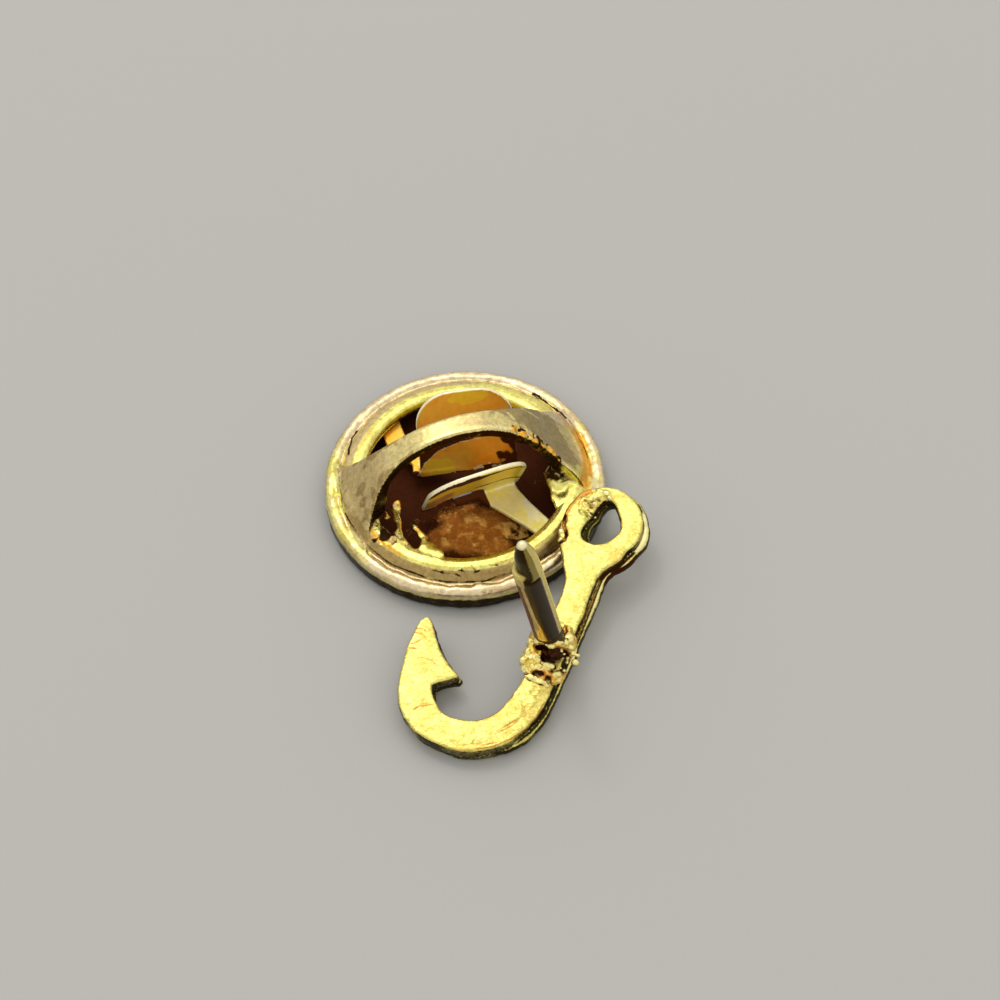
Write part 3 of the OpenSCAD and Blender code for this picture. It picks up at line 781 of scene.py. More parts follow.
def post_marks(points, right, front, at_left):
    """Painted reflections in stripes along the wire, from left to right as the camera sees it, and painted
    highlights on the shoulder and tip.

    The body's painted stripes are bronze, brown, gold, dark, olive and pale, and the nose's dark, olive and
    pale.
    """
    high = points[:, 2]
    on_body = high < SHOULDER_H - 0.02
    wavy = 0.1 * lumps(points, 1.1, 45)
    # painted reflections: the stripes lie only on the side that faces the camera
    facing = fade(-front, 0.1, 0.5)
    dark_from, dark_to = 0.15 - 0.1 * high, 0.88 - 0.01 * high
    body_dark = fade(-right, -dark_from + wavy, 0.14) * fade(right, dark_to + 0.3 * wavy, 0.14)
    nose_dark = fade(right, 0.2 + wavy, 0.5)
    climb = at_left * band(high, SHOULDER_H, 0.42, 0.2)
    dark = facing * np.where(on_body, body_dark, nose_dark) * (1 - climb)
    dark = most(dark, 0.35 * band(high, SHOULDER_H - 0.02, 0.03, 0.05) * (1 - at_left))
    # brown painted reflection down the left edge and along the dark stripe's edge
    left_brown_reflection = 0.9 * facing * on_body * fade(right, -0.66 + wavy, 0.16)
    brown_reflection_line = facing * band(right + wavy, dark_from, 0.04, 0.08) * on_body
    rust_and_painted_light = most(left_brown_reflection, brown_reflection_line) * (1 - climb)
    body_olive = fade(-right, 0.2 - dark_to, 0.2)
    olive = facing * np.where(on_body, body_olive, fade(-right, -0.15, 0.4))
    # painted highlights: a gold gleam beside the dark stripe, the right edge, the shoulder's left side and
    # its step
    gleam = band(right + wavy, dark_from - 0.15, 0.06, 0.1) * on_body * (0.75 + 2 * wavy)
    right_edge = fade(-right, np.where(on_body, -0.86, -0.72), 0.2)
    step = band(high, SHOULDER_H, 0.09, 0.08) * fade(right, -0.3, 0.3)
    pale = most(facing * most(right_edge, 0.9 * gleam), 0.7 * climb, 0.8 * step)
    # painted highlight on the tip
    tip = fade(-high, -POST_LEN + 0.17, 0.06)
    blotches = 0.6 * fade(-lumps(points * (1, 1, 0.35), 0.5, 47), -0.25, 0.3) * (1 - facing)
    foot = 0.9 * fade(high + 2 * wavy, 1.36, 0.2)
    stripes = {"olive": olive, "dark": most(dark, blotches), "rust_and_painted_light": rust_and_painted_light, "pale": pale}
    return {name: stripe * (1 - tip) for name, stripe in stripes.items()} | {"foot": foot, "tip": tip}


# Clutch cap: one stamped sheet with a rolled rim, a ring, and a bridge over its two windows

# the rolled rim: its roll's radius, where its middle lies, and its height
BEAD_R = 0.3
BEAD_AT = 5.45
RIM_H = 1.15
# the ring's section inside the rim, as radii and heights, and half the sheet's thickness
RING_PATH = [(5.24, 0.72), (5.12, 0.95), (4.98, 1.14), (4.82, 1.28), (4.62, 1.37), (4.4, 1.4), (4.26, 1.36),
             (4.18, 1.24)]
SHEET_HALF = 0.12
# the bridge's arch from the side: radius, top, shift and half its width, and then where its feet end
ARC_R = 4.43
ARC_TOP = 4.91
ARC_SHIFT = -0.16
ARC_HALF = 3.81
FOOT_END = 5.0
FOOT_Z = 1.2
# torn slips of sheet that stand in from the ring: three beside the crumpled left foot, the last at the right
TORN_SLIPS = [
    [(-2.89, -0.43), (-3.08, -0.51), (-3.22, -0.66), (-3.28, -0.88), (-3.26, -1.17), (-3.33, -1.33),
     (-3.31, -1.71), (-3.42, -1.96), (-3.84, -2.26), (-4.01, -2.34), (-3.64, -2.93), (-2.9, -3.11),
     (-3.06, -2.73), (-3.21, -2.31), (-3.18, -1.9), (-3.1, -1.55), (-3.08, -1.22), (-2.96, -0.97),
     (-2.88, -0.65)],
    [(-2.67, -1.86), (-2.56, -1.99), (-2.46, -2.19), (-2.35, -2.34), (-2.27, -2.55), (-2.32, -2.77),
     (-2.11, -2.84), (-2.01, -3.15), (-1.89, -3.42), (-1.88, -3.65), (-2.1, -3.86), (-3.01, -3.38),
     (-2.9, -3.11), (-2.67, -2.95), (-2.55, -2.79), (-2.54, -2.61), (-2.56, -2.32), (-2.7, -1.95)],
    [(-3.54, -0.87), (-3.45, -1.16), (-3.62, -1.16)],
    [(3.5, -0.9), (3.2, -1.5), (3.19, -1.72), (3.08, -2.22), (3.12, -2.65), (3.63, -2.45), (4.3, -1.8),
     (4.3, -0.9)],
]
# how far the slips' edges are let out
SLIP_GROW = 0.03
# the blob of solder that ran down at the bridge's right foot
RUN_BLOB = (3.55, -1.2, 1.5)
# where the bridge's near edge is torn, above that blob
RAGGED_EDGE = [(2.2, -0.5), (2.5, -0.62), (2.8, -0.75), (3.05, -0.9), (3.3, -1.05), (3.5, -1.2)]
# where the left foot is crumpled
CRUMPLE = [(-4.01, -1.36), (-3.67, -1.35), (-3.52, -1.72), (-3.92, -1.96), (-4.16, -2.09), (-3.79, -2.1),
           (-3.72, -2.33)]
# marks on the cap, as places along and across the bridge: the slate slope, its olive edge and streaks
SLATE_PATCH = [(1.37, 0.61), (2.41, 0.78), (3.14, 1.03), (3.95, 1.24), (4.24, 0.92), (4.28, 0.36),
               (4.51, -0.32), (4.58, -0.91), (4.35, -1.42), (4.02, -1.24), (3.65, -1.09), (3.17, -0.77),
               (2.74, -0.4), (2.18, -0.02), (1.79, 0.35), (1.29, 0.34)]
OLIVE_PATCH = [(4.5, 0.35), (4.72, 0.2), (4.82, -0.4), (4.72, -1.1), (4.55, -1.0), (4.6, -0.4)]
SLATE_STREAKS = [
    [(2.39, -0.45), (2.7, -0.6), (3.04, -0.79)], [(2.74, 0.78), (3.36, 0.64)], [(2.05, 0.38), (2.22, 0.1)],
]
# black lines where the rim was crimped, the ring's side painted orange as a reflection, and scratches on its
# near side
CRIMP_LINES = [
    [(3.93, 3.44), (4.1, 3.28), (4.23, 3.02), (4.4, 2.69), (4.62, 2.4), (4.7, 2.1), (4.83, 1.68)],
    [(-3.58, 3.74), (-3.87, 3.45), (-4.02, 3.06), (-4.17, 2.78), (-4.25, 2.48)],
]
ORANGE_BAND = [[(5.05, 0.95), (5.12, 0.23), (5.05, -0.56), (4.87, -1.33), (4.56, -1.93)]]
NEAR_SCRATCHES = [
    [(-2.48, -4.17), (-2.06, -4.45), (-1.68, -4.62), (-1.4, -4.8)],
    [(-1.5, -4.52), (-0.98, -4.78), (-0.52, -4.77)],
    [(-0.3, -4.66), (0.04, -4.73), (0.53, -4.63)],
    [(-1.35, -4.5), (-1.25, -4.72)], [(-0.95, -4.5), (-0.85, -4.78)],
]


def arch_outline():
    """The space under the bridge's upper face, seen from the side."""
    centre_z = ARC_TOP - ARC_R
    half = math.degrees(math.asin(ARC_HALF / ARC_R))
    curve = arc(ARC_SHIFT, centre_z, ARC_R, 90 - half, 90 + half, 30)
    feet = []
    for (cx, cz), side in ((curve[0], 1), (curve[-1], -1)):
        slope = (cz - FOOT_Z) / (FOOT_END - side * cx)
        feet.append((side * (FOOT_END + (FOOT_Z + 1) / slope), -1))
    return np.concatenate([[feet[0]], curve, [feet[1]]])


def waist_half(s):
    """Half the bridge's width at a place along it: a waist in the middle and feet that spread out."""
    out = np.clip(np.abs(s) / 5, 0, 1.1)
    return 0.51 + np.where(s < 0, 2.2 * out ** 5.45, 1.87 * out ** 2.51)


def waist_outline():
    """The bridge from above."""
    s = np.linspace(-5.4, 5.4, 44)
    half = waist_half(s)
    return np.concatenate([np.stack([s, half], 1), np.stack([s, -half], 1)[::-1]])


def ring_lumps(x, y, size, seed):
    """Random heights that change along the rim but not across it."""
    angle = np.arctan2(y, x)
    places = [np.cos(angle).ravel() * BEAD_AT, np.sin(angle).ravel() * BEAD_AT, np.zeros(angle.size)]
    return lumps(np.stack(places, 1), size, seed).reshape(angle.shape)


def cap_field(x, y, z):
    """The cap: its rolled rim, its ring, the hollow bridge with its flanges, and what is torn or run."""
    flat_x, flat_y = x[:, :, 0], y[:, :, 0]
    r = np.hypot(flat_x, flat_y)
    # the roller left the rim uneven, most of all on its inner side
    uneven = ring_lumps(flat_x, flat_y, 0.9, 301) + 0.6 * ring_lumps(flat_x, flat_y, 0.3, 303)
    inner = np.clip((BEAD_AT - r) / BEAD_R, 0, 1)
    up = np.clip(z - BEAD_R, 0, RIM_H - 2 * BEAD_R)
    bead = np.sqrt((r[:, :, None] - BEAD_AT) ** 2 + (z - BEAD_R - up) ** 2) - BEAD_R
    bead = bead + (uneven * (0.016 + 0.05 * inner))[:, :, None]
    # the ring's section is worked out once, for a row of radii, and then turned round the middle
    ring_from, ring_to, steps = 3.9, 5.7, 240
    radii = np.linspace(ring_from, ring_to, steps + 1)
    ring_rz, _ = path_distance(radii[:, None], z[0, 0][None, :], RING_PATH)
    level = np.clip((r - ring_from) / (ring_to - ring_from) * steps, 0, steps - 0.001)
    low_i = level.astype(int)
    part = (level - low_i)[:, :, None]
    ring = ring_rz[low_i] * (1 - part) + ring_rz[low_i + 1] * part
    ring = ring - SHEET_HALF + np.maximum(ring_from - r, 0)[:, :, None]
    waist = outline_distance(flat_x, flat_y, waist_outline())[:, :, None]
    under_foot = np.maximum(waist + 0.2, r[:, :, None] - 4.9)
    ring = cut(ring, under_foot, 0.06)
    arch = outline_distance(x[:, 0], z[0], arch_outline())[:, None, :]
    body = keep_both(arch, waist, 0.16)
    hollow = keep_both(arch + 2 * SHEET_HALF, waist + 2 * SHEET_HALF, 0.1)
    shell = cut(body, hollow, 0.05)
    # its sides hang down as flanges that are deeper towards the feet
    flange = 0.46 + 5 * np.clip((np.abs(x) - 3.25) / 1.2, 0, 1) ** 1.6
    shell = cut(shell, arch + flange, 0.08)
    shell = keep_both(shell, 1.12 - z, 0.05)
    shell = keep_both(shell, r[:, :, None] - 5.3, 0.08)
    # the foot's corners were pressed down into the ring
    pressed = 1.28 + 1.6 * np.maximum(5.05 - r, 0)
    shell = keep_both(shell, z - pressed[:, :, None], 0.15)
    # the rim is only rolled against the ring, so their fillet is small
    cap = merge(bead, ring, 0.035)
    cap = merge(cap, shell, 0.2)
    ragged = 0.025 * flat_lumps(flat_x, flat_y, 0.16, 305) - SLIP_GROW
    lift = 1.4 + 0.05 * flat_lumps(flat_x, flat_y, 0.5, 307)[:, :, None]
    for slip in TORN_SLIPS:
        edge = (outline_distance(flat_x, flat_y, slip) + ragged)[:, :, None]
        cap = merge(cap, slab(edge, z - lift, -0.09, 0.09, 0.04), 0.05)
    return merge(cap, ball(x, y, z, RUN_BLOB, 0.42, (1, 1.15, 0.8)), 0.3)


def build_cap():
    """The stamping, its rim a little uneven, crumpled and torn at the bridge's feet."""
    cell = 0.055
    low, high = (-6.0, -6.0, -0.22), (6.0, 6.0, 5.2)
    x, y, z = (a.astype(np.float32) for a in grid(low, high, cell))
    smooth, faces, ways = shaped(cap_field(x, y, z), low, cell, 4)
    s, t, high_z = smooth.T
    r = np.hypot(s, t)
    crumple = near(smooth, CRUMPLE, 0.42) * (high_z > 0.9)
    crust = near(smooth, [RUN_BLOB], 0.55) * fade(-high_z, -1.2, 0.3) * fade(high_z, 2.0, 0.3)
    torn = near(smooth, RAGGED_EDGE, 0.4) * fade(-high_z, -1.5, 0.3)
    rise = 0.006 * grain(smooth, 0.5, 51) + 0.02 * fade(-r, -5.05, 0.1) * grain(smooth, 0.3, 59, 2)
    rise += 0.07 * most(crumple, crust) * grain(smooth, 0.24, 55) + 0.06 * torn * grain(smooth, 0.2, 57)
    rise += 0.05 * crust
    points = smooth + ways * rise[:, None]
    blot = lumps(points, 0.55, 313)
    groups = [
        rim_marks(points, s, t, r, high_z, blot),
        bridge_marks(points, ways, s, t, r, high_z, blot),
        damage_marks(points, s, t, r, high_z, blot, crumple, crust, torn),
    ]
    masks = {}
    for group in groups:
        for name, mask in group.items():
            masks[name] = most(masks[name], mask) if name in masks else mask
    make_piece("clutch_cap_stamping", points, faces, CLUTCH_FRAME, SHEET_GOLD, PIN, "clutch_cap",
               masks)


def rim_marks(points, s, t, r, high_z, blot):
    """The rim's top painted pink as a highlight over a wall in painted shade, and the ring's slope painted
    brown as shade and orange as a reflection.
    """
    # azimuth of each place as the camera sees it: 0 right, 90 far, 180 left, 270 near
    azimuth = (np.degrees(np.arctan2(t, s)) + BRIDGE_TURN) % 360
    from_right = (azimuth + 180) % 360 - 180 - 8
    is_near = band(azimuth, 268, 72, 40)
    wavy = ring_lumps(s, t, 0.7, 311)
    # painted highlight: the rim's top is pinkish above its wall
    pink = fade(-r, -5.12 - 0.03 * wavy, 0.08) * fade(-high_z, -0.8, 0.12)
    pink *= 0.78 + 0.3 * blot - 0.4 * band(azimuth, 185, 32, 30)
    pink *= 1 - 0.25 * band(from_right, 0, 40, 30)
    pink *= (r > 5.0) & (high_z < RIM_H + 0.12)
    # painted shade: the rim's outer wall is painted dark below its top
    outer_wall_shade = fade(high_z, 0.72 + 0.05 * wavy, 0.14) * (r > 5.1) * (0.85 + 0.2 * blot)
    on_ring = between(high_z, 0.95, 1.6)
    slope = band(r, 4.95, 0.16, 0.1) * on_ring
    inner_wall = band(r, 5.08, 0.1, 0.08) * between(high_z, 0.8, 1.3)
    # painted shade: the slope's near side and the crease by the rim are painted brown
    tarnish_and_shade = 0.95 * most(slope, inner_wall) * is_near * (0.85 + 0.25 * blot)
    # painted reflection: orange on the ring's right slope, along its band, and at its lower left
    amber = most(
        0.9 * slope * band(from_right, 0, 30, 24) * (0.5 + 0.5 * blot),
        0.9 * along_lines(points, ORANGE_BAND, 0.46) * (high_z > 0.9) * (0.8 + 0.4 * blot),
        0.6 * band(r, 4.68, 0.1, 0.1) * band(azimuth, 222, 16, 14) * (high_z < 1.6))
    khaki = 0.9 * band(r, 4.86, 0.22, 0.12) * band(azimuth, 128, 44, 24) * on_ring
    # painted shade: a dark line in the crease between rim and ring, whole on the near side and broken
    # elsewhere
    seam_shade = band(r, 5.13 + 0.05 * wavy, 0.025, 0.05) * between(high_z, 0.75, 1.3)
    seam_shade *= most(fade(-ring_lumps(s, t, 1.2, 321), -0.05, 0.3), is_near)
    # the rim's rolled edge catches the light in a torn line
    rolled = ring_lumps(s, t, 0.25, 335)
    white = 0.9 * band(r, 5.24 + 0.04 * wavy + 0.03 * rolled, 0.04, 0.05) * between(high_z, 0.9, 1.35)
    white *= fade(-rolled - wavy, 0.2, 0.6) * band(azimuth, 240, 75, 30)
    return {"pink": pink, "tarnish_and_shade": tarnish_and_shade, "amber": amber, "khaki": khaki, "side": outer_wall_shade,
            "white": white, "crack": 0.8 * seam_shade * (0.8 + 0.4 * blot)}


def bridge_marks(points, ways, s, t, r, high_z, blot):
    """Cream on top, khaki down the left foot, slate and mottled pink down the right slope, painted shade on
    the flange sides and under the bridge, and a painted highlight along its near top edge.
    """
    on_bridge = (np.abs(t) < waist_half(s) + 0.1) & (high_z > 1.45 - 0.2 * (np.abs(s) > 4))
    top_face = fade(-ways[:, 2], -0.1, 0.2) * on_bridge
    low_end = fade(-s, -4.1, 0.4) * fade(t, -0.9, 0.4)
    cream = 0.95 * top_face * fade(-s, 3.2 + 0.3 * lumps(points, 1.3, 315), 0.7) * (1 - low_end)
    # the slate's edge and its streaks run along the slope
    wisps = grain(np.stack([0.5 * s - t, 2 * (s + 0.5 * t), high_z], 1), 0.5, 317, 4)
    pill = fade(np.hypot((s - 0.3) / 0.62, (t - 0.02) / 0.2), 1, 0.3)
    olive_patch = fade(outline_distance(s, t, OLIVE_PATCH) + 0.08 * wisps, 0, 0.15)
    left_foot = 0.95 * fade(s, -3.1 + 0.2 * blot, 0.5)
    khaki = most(top_face * most(left_foot, 0.6 * pill, 0.5 * fade(-blot, -0.3, 0.4)), 0.9 * olive_patch)
    right_slope = 0.8 * fade(-s, -1.6, 0.5) * fade(-t, -1.0, 0.3) * (0.8 + 0.4 * blot)
    flushed = 0.62 * fade(lumps(points, 0.6, 345), -0.3, 0.3) * fade(s, -2.0, 1.0)
    slate_edge = outline_distance(s, t, SLATE_PATCH) + 0.13 * wisps
    slate = top_face * fade(slate_edge, 0.0, 0.35) * (0.78 + 0.3 * fade(-wisps, 0.1, 0.8))
    slate *= 1 - 0.9 * along_lines(points, SLATE_STREAKS, 0.12)
    blotches = fade(-lumps(points, 0.75, 341) - 0.5 * lumps(points, 0.3, 343), -0.15, 0.3)
    # painted highlight along the bridge's near top edge
    lit_edge = band(t, 0.2 - waist_half(s), 0.09, 0.1) * band(s, -0.4, 2.6, 0.9)
    side_way = np.abs(ways[:, 1]) * fade(np.abs(ways[:, 2]), 0.55, 0.3)
    # painted shade on the flange sides and on faces under the bridge
    flange_side_shade = fade(-side_way, -0.5, 0.3) * (high_z > 1.5) * (r < 5.0) * fade(s, 3.75, 0.4)
    below = fade(ways[:, 2], -0.3, 0.4) * (high_z > 1.3) * (r < 4.9)
    return {"cream": cream, "pink": top_face * most(right_slope, flushed), "khaki": khaki, "slate": slate,
            "tarnish_and_shade": 0.62 * top_face * blotches * fade(s, -1.5, 1.0),
            "side": most(flange_side_shade * (0.85 + 0.3 * blot), 0.5 * below),
            "white": 0.6 * top_face * lit_edge * (0.8 + 0.4 * blot)}


def damage_marks(points, s, t, r, high_z, blot, crumple, crust, torn):
    """Scratches and crimps in the rim, painted highlights on the slips' edges, the burnt and cracked feet,
    and painted shade in the crumpled foot.
    """
    on_slip = np.minimum.reduce([outline_distance(s, t, slip) for slip in TORN_SLIPS[:3]])
    slip_edge = band(on_slip, -0.02, 0.05, 0.06) * between(high_z, 1.2, 1.7) * fade(r, 4.3, 0.3)
    # painted highlight: the slips' edges are amber, and the torn edge has orange bits
    amber = most(0.7 * slip_edge * fade(-blot, 0.2, 0.4),
                 0.9 * torn * fade(lumps(points, 0.18, 331), 0.1, 0.4))
    scratches = along_lines(points, NEAR_SCRATCHES, 0.08) * (high_z < 1.6)
    crimps = along_lines(points, CRIMP_LINES, 0.1) * between(high_z, 0.9, 1.7)
    # the crumpled foot's dark spots are painted shade in its pit
    crack = most(
        0.9 * scratches * (0.55 + 0.6 * lumps(points, 0.2, 323)),
        0.9 * crimps,
        0.9 * crumple * fade(-lumps(points, 0.3, 325), -0.1, 0.5),
        crust * fade(-high_z, -1.42, 0.1) * (0.85 + 0.4 * lumps(points, 0.2, 327)),
        0.8 * torn * fade(-lumps(points, 0.15, 333), -0.25, 0.3))
    tarnish_and_shade = 0.8 * crumple * fade(lumps(points, 0.25, 329), 0.1, 0.4)
    return {"amber": amber, "crack": crack, "tarnish_and_shade": tarnish_and_shade}


# places on the base plate where a painted pool of light lies
LIT_PATCH = [(-1.58, -1.83), (-0.96, -1.12), (0.25, -1.34), (0.97, -1.82), (0.62, -3.03), (-0.59, -2.81),
               (-1.52, -2.37)]
BRIGHTEST_LIT_PATCH = [(0.9, -2.06), (1.42, -2.02), (1.89, -2.58), (1.83, -2.93), (1.26, -3.02), (0.91, -2.75),
                (0.85, -2.37)]


def build_base():
    """The plate inside the rim: dished a little, with a raised lip round the post's hole."""
    hole, lip, outer = 0.62, 0.75, 5.1
    under = [(hole, 0.1), (hole + 0.04, 0.08), (1.6, 0.08), (3.2, 0.08), (4.6, 0.08), (outer, 0.1)]
    over = [(outer, 0.3), (4.6, 0.32), (3.2, 0.31), (2.0, 0.3), (1.2, 0.3), (lip + 0.1, 0.3), (lip, 0.32)]
    over += [(hole + 0.05, 0.32), (hole, 0.3)]
    profile = [np.array(p) for p in under + over]
    fine = []
    for a, b in zip(profile, profile[1:] + profile[:1]):
        count = max(1, int(np.linalg.norm(b - a) / 0.1))
        fine += [a + (b - a) * k / count for k in range(count)]
    steps = 200
    points = turned(fine, steps)
    faces = []
    for k in range(len(fine)):
        faces += ring_faces((k + 1) % len(fine) * steps, k * steps, steps)
    points[:, 2] += 0.01 * grain(points, 0.7, 71) * (points[:, 2] > 0.2)
    px, py, pz = points.T
    blot = lumps(points, 0.45, 75)
    # painted light: a pool of light over the patch, brown at its edge and amber in its brightest spot, with
    # painted shade everywhere else
    from_lit_patch = outline_distance(px, py, LIT_PATCH)
    bright = fade(from_lit_patch + 0.25 * blot, 0.1, 0.5)
    worn = fade(from_lit_patch + 0.3 * blot, 0.45, 1.3)
    painted_shade = (0.92 + 0.25 * lumps(points, 1.3, 73) + 0.15 * blot) * (1 - 0.85 * worn)
    rust_and_painted_light = worn * (0.62 + 0.35 * lumps(points, 0.25, 77))
    brightest_lit = fade(outline_distance(px, py, BRIGHTEST_LIT_PATCH) + 0.08 * blot, 0.03, 0.12) * (pz > 0.2)
    amber = most(brightest_lit * (0.62 + 0.6 * lumps(points, 0.16, 78)),
                 0.5 * bright * fade(-lumps(points, 0.3, 79), -0.3, 0.3))
    make_piece("clutch_base_plate", points, faces, CLUTCH_FRAME, BASE_BRASS, PIN, "clutch_base",
               {"painted_shade": painted_shade, "rust_and_painted_light": rust_and_painted_light, "amber": amber})


# Spring wings: a strip bent up into a rounded tab, on a leg that goes out under the ring

WING_Z = 0.91
WING_HALF_T = 0.1
TAB_LENGTH = 3.8
# each leg: places outwards, then its middle and half width at them
FAR_LEG = ([0.7, 1.2, 2.4, 3.6], [-1.1, -1.3, -2.5, -2.7], [0.95, 0.7, 0.45, 0.42])
NEAR_LEG = ([0.6, 1.2, 2.0, 3.0, 3.6], [-0.95, -1.12, -1.5, -1.98, -2.2], [0.9, 0.78, 0.62, 0.5, 0.42])


def build_wing(name, node, body, turned_by, half_w, shift, knee_y, lean, heel, leg_ways, inner_ways, notch,
               seed, find_marks):
    """A tab that leans out by lean degrees from a knee, on a leg, with a short inner end."""
    cell = 0.048
    corner = 1.5
    bend_r = 0.22
    low, high = (-3.3, 0.2, 0.1), (2.9, 4.0, 5.0)
    x, y, z = grid(low, high, cell)
    # the tab as if it stood straight up
    rise, out = z - WING_Z, y - knee_y
    up = rise * math.cos(math.radians(lean)) + out * math.sin(math.radians(lean))
    away = out * math.cos(math.radians(lean)) - rise * math.sin(math.radians(lean))
    to_end = np.clip(TAB_LENGTH - up, 0, None)
    rounded = corner - np.sqrt(np.maximum(corner ** 2 - (corner - to_end) ** 2, 0))
    across = np.abs(x - shift) - half_w + np.where(to_end < corner, rounded, 0)
    tab = np.maximum(np.abs(away) - WING_HALF_T, np.maximum(up - TAB_LENGTH, bend_r - up - heel))
    tab = keep_both(tab, across, 0.06)
    if notch:
        # the tab's foot is cut away in a shallow curve beside the leg
        notch_x, notch_half, notch_up = notch
        tab = cut(tab, (np.hypot((x - notch_x) / notch_half, up / notch_up) - 1) * notch_half, 0.08)
    leg_mid = np.interp(y, *leg_ways[:2])
    leg_half = np.interp(y, leg_ways[0], leg_ways[2])
    flat = np.abs(z - WING_Z) - WING_HALF_T
    leg = np.maximum(np.maximum(flat, np.abs(x - leg_mid) - leg_half), np.maximum(knee_y - y, y - 3.7))
    field = merge(tab, leg, 0.16)
    # the strip's inner end lies over the post's hole
    inner_mid, inner_half, inner_to = inner_ways
    inner_end = np.maximum(np.abs(x - inner_mid) - inner_half, np.maximum(knee_y - y, y - inner_to))
    field = merge(field, np.maximum(flat, inner_end), 0.06)
    points, faces, ways = shaped(field, low, cell, 4)
    points = points + ways * (0.005 * grain(points, 0.7, seed))[:, None]
    make_piece(name, points, faces, place(*CLUTCH_AT) @ turn("Z", turned_by), SPRING_GOLD, body, node,
               find_marks(points, ways))


def wing_edges(points, ways):
    """Where a wing shows its cut edge, its leg and its outer face."""
    rise = points[:, 2] - WING_Z
    rim = fade(np.abs(ways[:, 1]), 0.75, 0.2) * fade(-rise, -0.5, 0.4)
    on_leg = fade(-points[:, 1], -1.1, 0.3) * fade(rise, 0.4, 0.2)
    outside = fade(-ways[:, 1], -0.1, 0.4) * fade(-rise, -0.2, 0.4)
    return rim, on_leg, outside


def far_wing_marks(points, ways):
    """Painted shade at the far wing's foot and far end, the bridge's painted shade down to a gleaming line
    painted as a highlight, and yellow blobs.
    """
    x, _, z = points.T
    rim, on_leg, outside = wing_edges(points, ways)
    inside = ways[:, 1] < 0
    blot = lumps(points, 0.3, 83)
    low_blobs = fade(np.hypot((x + 0.93) / 0.62, (z - 1.2) / 0.42) + 0.35 * blot, 1, 0.3)
    top_blobs = fade(np.hypot((x - 0.5) / 0.75, (z - 4.2) / 0.3) + 0.35 * blot, 1, 0.3)
    yellow = most(0.8 * outside, 0.95 * low_blobs, 0.95 * top_blobs)
    gleam = [[(-1.9, 0.75), (-1.54, 1.44), (-0.92, 1.95), (0.01, 2.23), (0.84, 2.29)]]
    # painted shade at the wing's foot, up to this height
    foot_shade_top = np.interp(x, [-2.26, -1.93, -0.79, 0.65, 1.87, 2.45], [0.26, 0.57, 0.81, 1.02, 1.09, 1.1])
    foot_shade = 0.95 * fade(z + 0.1 * blot, foot_shade_top, 0.1)
    # the bridge's shade lies over the tab as far down as its gleaming line
    shade_low = np.interp(x, [-2.1, -1.9, -1.54, -0.92, 0.01, 0.84], [0.4, 0.75, 1.44, 1.95, 2.23, 2.29])
    shade = 0.9 * fade(-z, -shade_low, 0.08) * fade(z, 3.0, 0.3) * fade(x, 0.5, 0.8) * inside
    # painted shade at the wing's far end
    far_end = 0.9 * fade(-x - 0.5 * blot, -1.75, 0.3) * fade(z, 2.7, 0.4) * inside
    painted_shade = most(foot_shade, shade, far_end) * (1 - on_leg)
    specks = 0.6 * fade(-lumps(points, 0.16, 85), -0.45, 0.15) * (z < foot_shade_top + 0.1)
    # painted highlights: the cut edge and the gleaming line
    pale = most(0.8 * rim, 0.65 * along_lines(np.stack([x, z], 1), gleam, 0.05) * inside, specks)
    tan = fade(np.maximum(np.abs(x + 1.45) - 0.48, z - 0.57) + 0.1 * blot, 0, 0.1) * (1 - on_leg)
    return {"yellow": yellow, "painted_shade": painted_shade * (1 - tan), "tan": tan, "pale": pale,
            "matt_highlight": np.zeros(len(points))}


def near_wing_marks(points, ways):
    """A cut edge painted as a highlight with a painted shadow line under it, a knee and leg painted creamy as
    if lit, and the flat inner end in painted shade.
    """
    x, y, z = points.T
    rim, on_leg, outside = wing_edges(points, ways)
    blot = lumps(points, 0.4, 95)
    # how far down the tab's face each place is, from its rounded top
    slant = 0.9
    down = (4.4 - slant * np.clip((np.abs(x - 0.05) - 0.7) / 1.5, 0, 1) ** 2.5 - z) / slant
    low = down + 0.12 * blot
    right = fade(x, 0.1 + 0.3 * blot, 0.6)
    on_leg = most(on_leg, fade(-y, -0.8, 0.2) * fade(z, 1.3, 0.3))
    # painted highlights: the outer face and leg yellow, the knee and leg pale and matt
    yellow = most(0.95 * outside, 0.9 * on_leg)
    # the painted shadow line is broad at the left, and a thin one lies above the knee
    under_edge = fade(np.abs(low - 0.4), np.interp(x, [-0.8, 0.4], [0.08, 0.42]), 0.14)
    over_knee = band(low, 2.3, 0.07, 0.1) * right
    painted_shade = 0.9 * outside * most(under_edge, over_knee)
    tan = 0.8 * outside * fade(-x, -0.9 + 0.3 * blot, 0.6) * fade(-low, -1.6, 0.4)
    # painted highlight on the cut edge and the leg
    pale = most(0.95 * rim, 0.6 * on_leg * (0.75 + 0.5 * blot))
    knee = outside * most(fade(-low, -2.45, 0.1) * right, fade(x, -1.85, 0.15))
    matt_highlight = most(0.9 * on_leg, 0.85 * knee)
    # painted shade over the flat strip at the left, where the inner end lies
    flat_shade = band(z, WING_Z, 0.19, 0.06) * fade(-x, 0.55, 0.12)
    clean = {"yellow": yellow, "tan": tan, "pale": pale, "matt_highlight": matt_highlight}
    return {name: mark * (1 - flat_shade) for name, mark in clean.items()} | {"painted_shade": most(painted_shade, flat_shade)}


# Camera, floor and light

